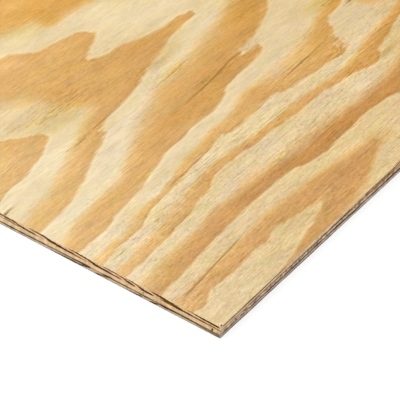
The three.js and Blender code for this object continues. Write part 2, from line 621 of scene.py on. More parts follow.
# The back's sawn edge, upwards: the eased arris, as how high and how far in, and the levels over it.
rim_levels = 8
arris = 0.3 * MM
back_arris = [(0.0, arris), (0.06 * MM, 0.14 * MM), (arris, 0.0)]
back_tear = 0.14 * MM
back_rim = [(underside + height, inset) for height, inset in back_arris]
back_rim += [(float(h), 0.0) for h in np.linspace(underside + arris, lower_glue_line, rim_levels)[1:]]
back_veneer = lay_veneer("back_veneer_wood", back_rim, False, True, unsanded, back_figure)
saw(back_veneer, back_finish(), back_tear, fibres_along)
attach(back_veneer, "root")
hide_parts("back_veneer")

# ---------------------------------------------------------------------------------------------
# Core veneer. It is pine too, a paler and rougher piece, glued between the others with its
# grain across the sheet. So the sheet's ends show its smooth side grain, and its long edges
# show its torn end grain.

# The core's rings: how thick they are, the first one's number, how many more there are to the
# metre, and how far they wave and ripple.
core_ring = 3.4 * MM
core_first, core_climb = 9, 0.9
core_wave, core_waving = lattice_noise(31, 60 * MM, 320 * MM), 3.0
core_ripple, core_rippling = lattice_noise(32, 14 * MM, 90 * MM), 0.8

# The splits and dark flecks in the core's sawn end. The streaks that lie on its glue lines are
# those of the back veneer.
core_end_streaks = [
    [(4.6, 4.6, 3.2, 0.0), (5.2, 4.5, 2.9, 0.8), (5.9, 4.3, 2.8, 0.8), (6.5, 3.4, 2.8, 0.0)],
    [(53.2, 4.6, 3.8, 0.0), (54.2, 4.5, 3.6, 0.8), (55, 4.3, 3.6, 0.0)],
    [(1.5, 3.3, 2.6, 0.7), (3.2, 3.2, 2.6, 0.0)],
]


def core_figure(x, y, z):
    """Year rings through the core, laid out on its lower side."""
    rings = core_first + core_waving * core_wave(x, y) + core_rippling * core_ripple(x, y)
    rings = rings + core_climb * (y - front)
    streaks = core_end_streaks + back_end_streaks[:1], back_edge_streaks[:1]
    dark = trace_streaks(*streaks, traced_across, traced_along, x, y, z)[0]
    return {"ring": rings + (z - lower_glue_line) / core_ring, "streak": dark}


# The core's colours: its side grain on the ends, its torn end grain on the edges, and the painted shade in
# the saw's hollows.
core_pale, core_warm = stain(255, 220, 174), stain(255, 208, 164)
core_yellow, core_late, core_far = stain(240, 210, 156), stain(214, 166, 120), stain(255, 232, 188)
core_torn, core_sound, core_flushed = stain(176, 138, 104), stain(255, 228, 194), stain(190, 150, 150)
core_streak, core_glue, core_hollow_shade = stain(88, 58, 34), stain(96, 62, 34), stain(206, 206, 206)

# Where the core pales further from the corner, and the heights where the upper glue darkens it.
core_pales_from, core_pales_full = 100 * MM, 160 * MM
core_glue_from, core_glue_full = 5.1 * MM, 5.6 * MM
core_relief = 0.12 * MM

# Where in its year the core's late wood begins and is full, and how dark a streak is where its
# colour begins and is full.
core_late_part, core_streak_from = (0.5, 0.85), (0.1, 0.8)


def core_finish():
    """Smooth pale side grain on the ends, and torn, blotched end grain on the edges."""
    wood = Recipe(bpy.data.materials.new("core_veneer_pine"))
    grain, (_, y, z) = place_of(wood)
    edge = sawn_sides(wood)[1]
    bits, edge_bits = saw_bits(wood, grain, edge, (900, 360, 600), (360, 900, 600))
    speckle = wood.noise(grain, (420, 90, 700), detail=3.0, seed=6.0)
    patches = wood.noise(grain, (40, 55, 260), detail=2.0, seed=11.0)
    ragged = wood.noise(grain, (200, 20, 500), detail=3.0, seed=13.0)
    year = wood.maths("FRACT", wood.value_of("ring") + (ragged - 0.5) * 0.3)
    late = wood.ramp(year, *core_late_part)
    blotches = wood.noise(grain, (440, 500, 560), detail=2.0, seed=29.0)
    tint = wood.noise(grain, (120, 110, 200), detail=1.0, seed=23.0)
    tinted = wood.ramp(tint, 0.5, 0.7)

    # Its side grain, and its torn end grain.
    side = wood.mix(wood.ramp(patches, 0.5, 0.7), core_pale, core_warm)
    side = wood.mix(tinted * 0.6, side, core_yellow)
    side = wood.mix(late * 0.2, side, core_late)
    pales = wood.ramp(y, front + core_pales_from, front + core_pales_full)
    side = wood.mix(pales * 0.6, side, core_far)
    torn = wood.mix(wood.ramp(blotches + edge_bits * 0.5, 0.33, 0.6), core_torn, core_sound)
    torn = wood.mix(tinted * 0.4, torn, core_flushed)
    colour = wood.mix(edge, side, torn)

    # Its splits, the glue above it, and painted shade in the saw's marks.
    streak = wood.ramp(wood.value_of("streak") + bits * 0.8, *core_streak_from)
    colour = wood.mix(streak, colour, core_streak)
    near_glue = wood.ramp(z + edge_bits * edge * 1.4 * MM, core_glue_from, core_glue_full)
    colour = wood.mix(near_glue * (0.1 + edge * 0.65), colour, core_glue)
    colour = shade_saw_hollows(wood, grain, colour, 0.5 + bits, core_hollow_shade)
    bump = wood.node("ShaderNodeBump", {}, {"Strength": 0.5, "Distance": core_relief, "Height": speckle})
    return wood.finish(Base_Color=colour, Roughness=0.82, Specular_IOR_Level=0.1, Normal=bump)


# The core's sawn edge stands a hair back from the others.
core_inset = 0.02 * MM
core_tear = 0.2 * MM
core_rim = [(float(h), core_inset) for h in np.linspace(lower_glue_line, upper_glue_line, rim_levels)]
core_veneer = lay_veneer("core_veneer_wood", core_rim, False, False, unsanded, core_figure)
saw(core_veneer, core_finish(), core_tear, fibres_across)
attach(core_veneer, "root")
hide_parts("core_veneer")

# ---------------------------------------------------------------------------------------------
# Face veneer. The good side: a thicker, clear ribbon of pine peeled from a log that was turned
# a little off its centre, so the knife cut in and out of the year rings and drew their long
# pointed flames. It is glued on with its grain along the sheet, and sanded smooth.

# Where each year ring ends on the face, in drawing units along and across from the corner. A
# year's dark late wood stops sharply there, and the next year's pale wood begins.
year_lines = {
    1: [(51.7, 208.2), (57.7, 204.2), (65.6, 197.3), (71, 194.6), (75, 191.6), (70.5, 187), (65, 183.3),
        (60, 180.8), (55, 178.4), (50, 177.6), (42, 175.7), (36, 173.3), (28, 172.8), (18, 172.8),
        (8, 169.8)],
    2: [(0, 130.8), (10, 132.9), (25, 133.2), (33, 136), (40, 138), (50, 141.2), (60, 146.4), (70, 150.8),
        (78, 153.6), (85, 155.5), (91, 158.8), (95.5, 161.6), (98.6, 164.6), (102.5, 167.6), (107, 169.8),
        (114, 171.6), (126, 173.2), (135, 174.4), (144, 176.2), (150, 178.4), (156, 180.3), (160, 181.3),
        (165, 183.6), (172, 185.9), (179, 187.8), (184, 189), (190, 190.8), (194, 192.6), (200, 194.5),
        (207, 196.5), (214, 197.3), (221, 198.1), (229, 199), (235, 200.1), (239, 201.6), (235.5, 202.4),
        (231, 203), (224, 204), (216, 205), (206, 205.4), (200, 206.1), (193, 208.2), (187, 210.4),
        (181.5, 213), (175, 214), (168, 215.3), (160, 216.7), (154.5, 219.4), (150.9, 222), (154.5, 225.6),
        (158.5, 228), (164.5, 230.2), (170.5, 232.9), (175.4, 236.2), (179, 239.2), (176.5, 241.5),
        (174.5, 244.3), (173.7, 246.5), (170, 247.6), (158, 249.6), (149, 251.2), (140, 253.1),
        (134.6, 256.4), (129.3, 261.6), (125.5, 265.3), (118, 266.8)],
    3: [(0, 101.8), (10, 102.4), (18, 103), (25, 103.1), (32, 104.5), (38, 106.6), (50, 108.2), (60, 110.6),
        (70, 112.5), (80, 115), (90, 116.7), (97, 118.3), (104, 120.4), (115, 121.2), (125, 121.7),
        (132, 123), (140, 123.3), (147, 123.1), (154, 122.6), (162, 123.3), (168, 125.7), (174, 127.2),
        (180, 130.7), (187, 132.4), (197, 134.1), (207, 134.2), (216, 135.7), (224, 136.3), (229, 137.4),
        (232, 139), (233.8, 140.6), (233, 141.7), (228, 141.5), (222, 142.9), (217.5, 146), (219.5, 149.2),
        (227, 150.3), (236, 151), (243, 152.3), (250, 154.6), (257, 157.3), (264, 160.8), (272, 165.8),
        (278, 170), (284, 175), (292, 181)],
    4: [(0, 83.6), (8, 84.8), (14, 86), (22, 87.2), (32, 87), (38, 86.5), (45, 88.6), (50, 91.4), (58, 93),
        (70, 94.6), (80, 94.6), (88, 95.9), (94, 97), (104, 98.8), (114, 99.7), (124, 99.9), (131, 101.8),
        (137, 103.1), (142, 101.5), (150, 100), (158, 100.2), (165, 101.4), (180, 102), (192, 102.4),
        (197, 101), (203, 98.6), (210, 97.2), (217, 97.1), (226, 96.3), (239, 94.8), (249, 93.4),
        (258, 92.2), (265, 94), (271, 95.8), (272.5, 98.4), (269, 100.4), (266.5, 102.6), (268.2, 105),
        (270.2, 108.4), (273, 110.8), (277, 112.8), (280.6, 116), (283.2, 119.6), (286, 122.4),
        (290, 124.2), (301, 126.2), (311, 127.8)],
    5: [(0, 66.8), (10, 68), (20, 67.9), (30, 69.4), (45, 70.1), (60, 71.6), (68, 72.2), (74, 74.4),
        (80, 76.2), (90, 76.9), (95, 78.2), (100, 80.8), (107, 83.2), (115, 84), (125, 83.1), (137, 82.8),
        (152, 81.2), (165, 81.1), (180, 80.2), (200, 79.1), (215, 78.3), (228, 76.3), (240, 74.3),
        (250, 72.6), (256, 70), (263, 69), (269, 69.9), (273, 72.2), (275.5, 75.2), (281, 76.6),
        (287, 78.3), (292, 79), (298, 80), (302, 81.4), (305, 83.6), (310, 84.8), (320, 86.2), (332, 89.2)],
    6: [(0, 41.6), (10, 42.3), (20, 43.2), (30, 44), (42, 45.4), (55, 46.5), (68, 47.4), (78, 48.4),
        (92, 48.9), (110, 49.3), (122, 48.9), (132, 48.8), (138, 48.7), (143, 46.5), (149, 44), (156, 43),
        (162, 42.2), (170, 42.3), (182, 43), (200, 43.7), (212, 44.2), (225, 43.7), (234, 42.3),
        (241, 40.4), (247, 38.6), (256, 36.2)],
    7: [(0, 19), (9, 17.8), (15, 20.5), (21, 23), (32, 22.3), (42, 21.9), (52, 22), (60, 22.7), (67, 23),
        (74, 21), (80, 24), (86, 25.8), (94, 23.4), (102, 22.4), (110, 20.6), (118, 19.9), (126, 18.7),
        (134, 16.4), (128, 14.2), (120, 12.4), (111, 10.4), (104, 8.8), (91, 6.4), (78, 3.2), (68, 2),
        (58, 0.7)],
}

# Halfway through each year, where its pale early wood shades into the late wood.
mid_lines = {
    1.5: [(0, 144.2), (10, 146.7), (20, 149.2), (30, 151.1), (40, 154), (50, 158), (60, 162.2), (68, 166.4),
        (78, 170.6), (88, 175), (96, 178.2), (104, 181.6), (110, 184.4), (110.5, 188), (106.5, 193),
        (101.5, 198.4), (99.5, 206.2), (98, 214.2), (92, 222.2), (84, 228.2)],
    2.5: [(0, 112.6), (10, 116.8), (20, 120.6), (40, 124.2), (60, 124.8), (70, 126.6), (80, 131.8),
        (90, 137.2), (100, 142.4), (110, 147.6), (120, 153.2), (130, 158), (140, 161.6), (150, 164.8),
        (160, 167.2), (172, 169), (185, 170.2), (198, 172), (210, 175.2), (225, 179.2), (240, 182.6),
        (252, 186.2), (265, 190.6), (275, 195.2)],
    3.5: [(0, 90.2), (12, 90.6), (25, 91.6), (38, 93.6), (46, 96.2), (55, 97.2), (70, 97.2), (85, 100.4),
        (100, 104.2), (115, 107.2), (130, 109), (150, 110.4), (165, 113), (178, 117), (192, 118.8),
        (210, 118), (230, 119.2), (248, 121), (262, 124.2), (278, 128.6), (295, 133.2), (308, 137.2)],
    4.5: [(0, 73.8), (15, 74.8), (30, 76.8), (45, 78.9), (60, 80.6), (72, 82), (82, 85.2), (95, 88.7),
        (110, 89), (125, 88.5), (140, 87.6), (155, 86.6), (170, 86), (185, 86.5), (200, 86.9), (215, 85.2),
        (230, 83.6), (245, 83.6), (258, 84.8), (272, 87.8), (290, 90.8), (306, 91.4), (320, 93.8),
        (333, 97.8)],
    5.5: [(0, 55.6), (10, 57.2), (22, 58.2), (40, 59), (55, 60.8), (70, 62.6), (85, 63.2), (100, 63.5),
        (115, 62.6), (130, 61), (145, 61.2), (160, 61.8), (175, 61.2), (190, 60), (205, 58.4), (220, 56.1),
        (240, 56.2), (256, 57.4), (270, 59.2)],
    6.5: [(0, 33.6), (15, 34.2), (30, 33.6), (50, 34.4), (70, 35.2), (85, 36.6), (100, 37.2), (115, 36.2),
        (130, 34.6), (145, 33.6), (158, 32.2), (172, 30.2), (186, 28.2), (198, 25.6), (203, 22.2),
        (196, 18.8), (186, 16.2), (176, 12.8), (166, 8.8), (154, 4.6), (140, 0.8), (126, -2.4),
        (112, -5.8)],
}

# Places inside the rings, as along, across and the ring's number there.
ring_spots = [
    (20, 188.2, 0.8), (45, 192.2, 0.86), (10, 181.2, 0.8), (35, 205.2, 0.8), (150, 20.2, 6.93),
    (165, 18.2, 6.97), (182, 21.2, 6.8), (192, 23.2, 6.66), (212, 27.2, 6.4), (215, 19.2, 6.35),
    (190, 8.2, 6.2), (170, 2.2, 6.16), (150, -3.8, 6.2), (225, 33.2, 6.3), (240, 32.2, 6.1),
    (172, 296.2, 2.75), (155, 290.2, 2.7), (185, 285.2, 2.76), (180, 272.2, 2.72), (172, 276.2, 2.7),
    (195, 271.2, 2.7), (185, 255.2, 2.36), (215, 230.2, 2.4), (245, 212.2, 2.34), (235, 240.2, 2.4),
    (155, 222.6, 2.05), (161, 223.6, 2.12), (169, 224.2, 2.18), (185, 222.2, 2.26), (184.5, 243.2, 2.12),
    (184.5, 233.7, 2.14), (146.5, 222, 1.96), (172, 239.2, 1.93), (229, 201.4, 1.95), (217, 201.4, 1.93),
    (243, 204.2, 2.1), (243, 197.2, 2.1), (200, 213.2, 2.16), (140, 268.2, 2.3), (150, 258.2, 2.2),
    (325, 118.2, 4.58), (317, 114.2, 4.5), (330, 103.2, 4.56), (305, 108.2, 4.2), (296, 100.2, 4.2),
    (20, 8.2, 7.25), (60, 12.2, 7.2), (95, 14.2, 7.1), (30, -7.8, 7.35), (142, 15, 6.9), (234, 146.4, 3.14),
    (244, 147, 3.2), (228, 146.4, 3.12), (222.5, 146.4, 3.07), (210, 145.2, 2.88), (212, 151.2, 2.84),
    (224, 155.2, 2.86), (224, 139.2, 2.94), (210, 110.7, 3.62), (225, 111.2, 3.6), (240, 112.2, 3.6),
    (226, 105.2, 3.72), (196, 111.2, 3.68), (140, 235.2, 1.85), (120, 225.2, 1.78), (150, 200.2, 1.82),
    (90, 245.2, 1.8), (60, 206.2, 1.3), (75, 200.2, 1.36), (88, 200.2, 1.42), (78, 212.2, 1.36),
    (88, 213.2, 1.42), (70, 222.2, 1.4), (112, 206.2, 1.72), (108, 218.2, 1.72), (100, 232.2, 1.7),
    (120, 192.2, 1.72), (132, 288.6, 2.5), (140, 284.8, 2.5), (150, 281.2, 2.5), (159, 279.2, 2.5),
    (163, 275.6, 2.5), (165.4, 268.8, 2.5), (172, 265.2, 2.5), (185, 265.2, 2.5), (200, 265.2, 2.5),
    (212, 262.2, 2.5),
]

# Near the corner the rings' numbers are the heights of one thin plate bent through those points.
ring_points = [(a, b, year) for lines in (year_lines, mid_lines)
               for year, line in lines.items() for a, b in line]
ring_points = np.array(ring_points + ring_spots)
bend_unit = 100.0
bend_give = 1e-4
not_zero = 1e-9


def bend(squares):
    """How a thin plate bends round a point, by the square of the distance from it."""
    return 0.5 * squares * np.log(squares + not_zero)


def fit_plate(places, heights):
    """The weights of the thin plate that passes through the heights given at the places."""
    n = len(places)
    apart = ((places[:, None] - places[None]) ** 2).sum(-1)
    system = np.zeros((n + 3, n + 3))
    system[:n, :n] = bend(apart) + bend_give * np.eye(n)
    system[:n, n] = system[n, :n] = 1
    system[:n, n + 1:] = places
    system[n + 1:, :n] = places.T
    return np.linalg.solve(system, np.concatenate([heights, np.zeros(3)]))


plate_places = ring_points[:, :2] / bend_unit
plate = fit_plate(plate_places, ring_points[:, 2])
lowest_ring, highest_ring = 0.2, 8.2
batch = 20000


def near_rings(a, b):
    """The year ring at the face near the front left corner."""
    places = np.column_stack([a, b]) / bend_unit
    rings = np.empty(len(places))
    for start in range(0, len(places), batch):
        part = places[start:start + batch]
        apart = ((part[:, None] - plate_places[None]) ** 2).sum(-1)
        rings[start:start + batch] = bend(apart) @ plate[:-3] + plate[-3] + part @ plate[-2:]
    return np.clip(rings, lowest_ring, highest_ring)


# Further off the rings follow a rule, in drawing units: how the log leans, as how far, how slowly
# and from where; how the knife swings past its centre; how it tapers; and its flames, edges and tips.
lean, lean_length, lean_start = 46, 610, 0.3
sway, sway_length, sway_start = 22, 233, 1.1
middle_ring, centre_swing, centre_at, centre_width = 4.3, 2.5, 20, 418
slow_swing, slow_width, slow_start = 0.9, 930, 0.8
taper = 0.0019
flame, flame_size = lattice_noise(11, 420, 95), 2.2
flame_edge, edge_size = lattice_noise(12, 190, 44), 1.3
flame_tip, tip_size = lattice_noise(13, 80, 17), 0.5


def far_rings(a, b):
    """The year ring over the rest of the sheet, from the log's lean, its centre and its taper."""
    turned = b + lean * np.sin(a / lean_length + lean_start) + sway * np.sin(a / sway_length + sway_start)
    rings = middle_ring + centre_swing * np.cos(math.tau * (turned - centre_at) / centre_width)
    rings = rings + slow_swing * np.cos(math.tau * turned / slow_width + slow_start)
    rings += taper * a + flame_size * (flame(a, turned) - 0.5)
    return rings + edge_size * (flame_edge(a, turned) - 0.5) + tip_size * (flame_tip(a, turned) - 0.5)


# How far along and across the drawn rings reach, and over how far they give way to the ruled ones.
drawn_length, drawn_width, drawn_fade = 330, 310, 260


def face_rings(x, y):
    """The year ring at the face: drawn near the front left corner, and by rule further off."""
    a, b = drawn_place(x, y)
    away = np.hypot(np.maximum(0, a - drawn_length), np.maximum(0, b - drawn_width))
    share = smooth(0, drawn_fade, away)
    rings = far_rings(a, b)
    near = share < 1
    rings[near] = share[near] * rings[near] + (1 - share[near]) * near_rings(a[near], b[near])
    return rings


# How thick the wood of each year is, from year 0 on, in millimetres, down through the veneer.
year_thickness = [3.5, 3.5, 3.6, 2.5, 2.3, 2.0, 3.1, 4.1, 4.5, 3.0, 2.6, 2.8, 2.4, 2.6, 3.0]
year_numbers = np.arange(-1, len(year_thickness))
year_depths = np.concatenate([[0], np.cumsum(year_thickness)])

# Drying checks and resin lines in the face, each as points of: distance along the sheet, how far
# across it, half width and how dark, from 0 to 1.
checks = [
    [(2, 29.7, 0.4, 0.0), (8, 30.2, 0.45, 0.75), (36, 32.8, 0.45, 0.8), (62, 35.2, 0.45, 0.7),
     (68, 35.8, 0.4, 0.0)],
    [(76, 96.7, 0.4, 0.0), (84, 97.3, 0.4, 0.55), (120, 99.8, 0.4, 0.6), (127, 100.2, 0.4, 0.0)],
    [(139, 101.6, 0.35, 0.0), (146, 101.4, 0.35, 0.45), (160, 101, 0.35, 0.4), (163, 101, 0.35, 0.0)],
    [(72, 167.2, 0.4, 0.0), (76, 168.1, 0.5, 0.6), (84, 168.5, 0.5, 0.65), (90, 169.4, 0.4, 0.3),
     (93, 169.8, 0.4, 0.0)],
    [(95, 170.2, 0.4, 0.0), (99, 170.6, 0.45, 0.7), (112, 171.8, 0.4, 0.6), (128, 173.2, 0.4, 0.0)],
    [(152, 166.8, 0.3, 0.0), (160, 167.1, 0.35, 0.5), (172, 167.6, 0.35, 0.6), (184, 168.8, 0.3, 0.4),
     (190, 169.4, 0.3, 0.0)],
    [(148, 140.4, 0.5, 0.0), (154, 140.8, 0.5, 0.4), (161, 141.4, 0.55, 0.7), (170, 142, 0.55, 0.8),
     (182, 142.8, 0.5, 0.7), (192, 144.2, 0.6, 0.85), (201, 145.8, 0.65, 0.85), (209, 147, 0.55, 0.75),
     (214, 147, 0.5, 0.7), (217, 147.4, 0.4, 0.15), (221, 147.8, 0.4, 0.15), (228, 148.4, 0.5, 0.75),
     (235, 148.5, 0.45, 0.6), (239, 148.7, 0.4, 0.0)],
    [(226, 144, 0.3, 0.0), (229, 144.1, 0.3, 0.5), (236, 144.3, 0.3, 0.4), (239, 144.4, 0.3, 0.0)],
    [(186, 104.8, 0.5, 0.0), (188, 104.9, 0.6, 0.5), (192, 105.1, 0.4, 0.15), (198, 105.7, 0.4, 0.35),
     (212, 106.3, 0.4, 0.4), (221, 107.1, 0.5, 0.8), (238, 108, 0.5, 0.85), (246, 108.5, 0.4, 0.5),
     (260, 109.4, 0.4, 0.4), (266, 109.8, 0.4, 0.0)],
    [(250, 93.4, 0.4, 0.0), (253, 93.2, 0.4, 0.6), (258, 93, 0.4, 0.6), (261, 93.2, 0.4, 0.0)],
    [(262, 96.8, 0.4, 0.0), (265, 97, 0.45, 0.7), (268, 97.5, 0.4, 0.6), (270, 97.9, 0.3, 0.0)],
    [(267.5, 103.6, 0.4, 0.0), (269, 104, 0.5, 0.8), (271, 104.8, 0.4, 0.0)],
    [(-1, 157.9, 0.6, 0.9), (1.5, 158.2, 0.7, 0.95), (4, 158.6, 0.6, 1.0), (6, 159, 0.45, 0.7),
     (8.5, 158.8, 0.4, 0.0)],
    [(310, 123.1, 0.4, 0.0), (313, 123.4, 0.7, 0.9), (316, 123.8, 0.7, 1.0), (320, 124.2, 0.5, 0.9)],
    [(68, 61.2, 0.4, 0.0), (74, 62, 0.4, 0.35), (84, 63.2, 0.4, 0.35), (89, 63.8, 0.4, 0.0)],
    [(108, 71, 0.4, 0.0), (114, 71, 0.4, 0.3), (126, 71, 0.4, 0.3), (133, 71, 0.4, 0.0)],
    [(128, 90, 0.4, 0.0), (132, 90, 0.4, 0.35), (138, 90, 0.4, 0.0)],
    [(185, 87.5, 0.4, 0.0), (189, 87.5, 0.4, 0.35), (197, 87.5, 0.4, 0.0)],
    [(198, 34.5, 0.4, 0.0), (203, 34.5, 0.4, 0.35), (212, 34.5, 0.4, 0.0)],
    [(226, 34.5, 0.4, 0.0), (232, 34.5, 0.4, 0.35), (242, 34.5, 0.4, 0.0)],
]


# A check is measured for points as far across from it as its reach, and its dark is given to the
# nearer of them. It is carried on past its ends without its dark. A later check takes a point over
# from an earlier one, unless it lies further off by more than the margin.
no_check = 9.0
check_reach, check_shown, check_overrun = 5.5, 3.2, 8
check_margin = 3


def nearest_check(x, y):
    """How far each point is across from a check, in its half widths, and how dark that check is there."""
    a, b = drawn_place(x, y)
    distance, depth = np.full(len(a), no_check), np.zeros(len(a))
    for check in checks:
        along, across, half_width, dark = np.array(check).T
        off = b - np.interp(a, along, across)
        run = np.interp(a, along, dark, 0, 0)
        beside = np.abs(off) < check_reach
        beside &= (a > along[0] - check_overrun) & (a < along[-1] + check_overrun)
        mine = beside & ((run > 0) | (depth == 0)) & (np.abs(off) < np.abs(distance) + check_margin)
        distance[mine] = (off / np.interp(a, along, half_width))[mine]
        depth[mine] = (run * (np.abs(off) < check_shown))[mine]
    return distance, depth


# The streaks that the rings make in the face veneer's sawn end and its front long edge, and how
# far they are known.
face_traced_across, face_traced_along = 178, 190
face_end_streaks = [
    [(30, 8.9, 8.2, 0.0), (26, 8.9, 7.9, 0.26), (21, 8.9, 8.0, 0.34), (19, 8.9, 8.1, 0.6),
     (17, 8.9, 8.0, 0.85), (13, 8.5, 7.5, 0.85), (9, 8.35, 7.3, 0.9), (5, 8.35, 7.2, 1.0),
     (1.9, 8.3, 7.2, 0.95), (0.8, 8.3, 7.2, 0.4), (-2, 8.2, 7.1, 0.2)],
    [(51, 8.9, 8.5, 0.0), (48, 8.9, 8.2, 0.65), (45, 8.9, 7.7, 0.8), (42, 8.7, 7.3, 0.8),
     (39, 8.4, 7.1, 0.75), (36, 8.2, 6.5, 0.7), (33, 8.0, 6.1, 0.7), (31, 7.7, 5.8, 0.8),
     (29.8, 7.4, 5.7, 0.85), (29.4, 7.3, 5.7, 0.3), (29, 7.2, 5.6, 0.85), (27, 7.1, 5.5, 0.85),
     (25, 6.8, 5.6, 0.65), (23, 6.7, 5.7, 0.8), (20, 6.6, 5.7, 0.75), (17, 6.4, 5.6, 0.8),
     (14, 6.3, 5.4, 0.75), (10, 6.2, 5.3, 0.65), (6, 6.2, 5.3, 0.6), (-2, 6.1, 5.3, 0.5)],
    [(42.2, 8.5, 5.8, 0.0), (41.6, 8.5, 5.8, 0.46), (38, 8.0, 5.5, 0.56), (34, 7.3, 5.5, 0.54),
     (30, 6.6, 5.4, 0.5), (24, 6.0, 5.3, 0.4), (18, 5.8, 5.3, 0.4)],
    [(68.5, 8.9, 8.5, 0.0), (66, 8.9, 8.5, 0.6), (63, 8.9, 8.1, 0.8), (61, 8.6, 7.9, 0.75),
     (58, 8.0, 7.0, 0.7), (56, 7.6, 6.2, 0.8), (55, 7.3, 5.8, 0.9), (53, 6.9, 5.7, 1.0),
     (50, 6.7, 5.6, 0.95), (48, 6.6, 5.6, 0.95), (46.3, 6.5, 5.6, 0.2), (44, 6.4, 5.6, 0.0)],
    [(84.5, 8.9, 8.5, 0.0), (82, 9.0, 8.3, 0.8), (79, 8.9, 8.1, 0.85), (76, 8.8, 7.9, 0.7),
     (73, 8.4, 7.7, 0.7), (70, 8.1, 7.5, 0.7), (68, 7.9, 7.2, 0.75), (66, 7.4, 6.3, 0.9),
     (64, 7.0, 5.8, 1.0), (62, 6.7, 5.6, 1.0), (60.5, 6.3, 5.5, 0.7), (58.5, 6.0, 5.4, 0.0)],
    [(110, 8.9, 8.5, 0.0), (106.5, 9.0, 8.1, 0.95), (103, 9.0, 8.0, 0.9), (100, 9.0, 7.7, 1.0),
     (97, 8.6, 7.6, 0.85), (95, 8.3, 7.4, 0.85), (92, 7.9, 6.6, 0.85), (90, 7.6, 6.0, 0.95),
     (88, 7.3, 5.8, 1.0), (85, 7.0, 5.8, 0.9), (82, 6.9, 5.7, 1.0), (79, 6.7, 5.6, 1.0),
     (76, 6.5, 5.6, 0.9), (73, 6.3, 5.5, 0.75), (71, 6.2, 5.4, 0.65), (68.5, 6.0, 5.4, 0.2),
     (64, 6.0, 5.4, 0.0)],
    [(140, 8.9, 8.5, 0.0), (137, 8.8, 8.1, 0.9), (134, 8.9, 8.0, 0.9), (131, 8.9, 7.9, 1.0),
     (128, 8.8, 7.6, 0.9), (126, 8.4, 7.1, 0.85), (124, 8.0, 6.3, 0.85), (121, 7.7, 5.9, 0.9),
     (119, 7.5, 6.0, 0.9), (117, 7.3, 5.8, 1.0), (114, 7.0, 5.8, 1.0), (111, 6.9, 5.8, 1.0),
     (108, 6.8, 5.9, 0.95), (105, 6.6, 5.8, 0.85), (102, 6.4, 5.7, 0.7), (99.5, 6.3, 5.6, 0.4),
     (94, 6.3, 5.6, 0.3), (91, 6.2, 5.5, 0.0)],
    [(178, 8.6, 7.8, 0.5), (165, 8.5, 7.6, 0.5), (160, 8.4, 7.4, 0.65), (156, 8.2, 7.1, 0.85),
     (153, 8.1, 7.2, 0.7), (150, 8.0, 7.1, 0.75), (147, 7.1, 6.2, 0.75), (144, 6.7, 5.8, 0.85),
     (141, 6.5, 5.4, 1.0), (138, 6.4, 5.3, 1.0), (135, 6.2, 5.4, 0.8), (133, 6.1, 5.4, 0.5),
     (130.5, 6.0, 5.4, 0.0)],
    [(178, 6.5, 5.4, 0.25), (160, 6.5, 5.4, 0.3), (155, 6.5, 5.3, 0.45), (150, 6.3, 5.3, 0.45),
     (146, 6.0, 5.3, 0.3), (136, 5.8, 5.3, 0.3), (120, 5.7, 5.3, 0.2)],
]
face_edge_streaks = [
    [(1.5, 7.5, 7.0, 0.0), (3, 7.5, 7.0, 0.8), (8, 7.6, 7.1, 0.8), (14, 7.7, 7.15, 0.9),
     (20, 7.8, 7.2, 0.85), (28, 8.05, 7.25, 0.85), (36, 8.2, 7.35, 0.85), (43, 8.4, 7.6, 0.75),
     (50, 8.5, 7.8, 0.75), (58, 8.6, 7.9, 0.65), (66, 8.7, 8.1, 0.5), (75, 8.7, 8.2, 0.35),
     (90, 8.7, 8.3, 0.2), (102, 8.7, 8.3, 0.0)],
    [(-2, 5.8, 5.3, 0.2), (6, 5.8, 5.3, 0.3), (20, 5.9, 5.3, 0.4), (36, 5.8, 5.3, 0.5), (40, 5.8, 5.3, 0.8),
     (52, 5.9, 5.3, 0.85), (57, 5.9, 5.3, 0.9), (66, 5.9, 5.3, 0.85), (71, 6.0, 5.3, 1.0),
     (76, 6.0, 5.3, 0.8), (84, 6.1, 5.3, 0.9), (88, 6.1, 5.3, 1.0), (94, 6.0, 5.3, 0.8),
     (101, 6.3, 5.3, 1.0), (106, 6.1, 5.3, 0.75), (113, 6.3, 5.3, 0.9), (122, 6.4, 5.3, 0.75),
     (130, 6.0, 5.3, 0.7), (188, 5.9, 5.3, 0.6)],
    [(106, 6.5, 5.6, 0.0), (115, 6.9, 5.5, 0.3), (122, 7.1, 5.5, 0.38), (130, 7.3, 5.5, 0.42),
     (136, 7.6, 5.5, 0.38), (142, 7.9, 5.6, 0.36), (147, 8.2, 5.6, 0.4), (155, 8.2, 5.6, 0.36),
     (165, 8.2, 5.6, 0.4), (172, 8.2, 5.5, 0.42), (180, 8.2, 5.5, 0.42), (200, 8.2, 5.5, 0.4)],
    [(138, 8.2, 7.4, 0.0), (146, 8.2, 7.3, 0.5), (160, 8.1, 7.3, 0.6), (172, 8.1, 7.2, 0.55),
     (200, 8.1, 7.2, 0.5)],
]

# Where a ring's end is torn into teeth: along, across, and how far that reaches each way. Far from
# the corner every ring's end is torn alike.
jagged = [(267, 100, 12, 9), (228, 145.5, 12, 5), (232, 101, 12, 6), (130, 16, 10, 7), (97, 163, 10, 6)]
more_teeth, far_teeth = 3.0, 3.0

# How softly each year's late wood ends, from year 0's on, in millimetres, and where that is softer
# still: along, across, how far that reaches each way, and how much more.
edge_blurs = np.array([1.0, 1.0, 1.15, 1.35, 0.85, 0.85, 0.9, 0.95, 1.0])
soft_ends = [
    (132, 17, 12, 6, 1.8), (229, 146, 10, 6, 0.5), (155, 224, 8, 7, 0.8), (126, 262, 12, 9, 1.6),
    (176, 187, 24, 7, 0.8), (62, 199, 12, 7, 0.9), (236, 202, 8, 4, 0.6), (286, 76, 10, 4, 0.6),
    (100, 165, 6, 5, 0.7), (267, 98, 8, 6, 0.3), (270, 165, 25, 7, 1.0), (190, 212, 14, 4, 0.8),
]

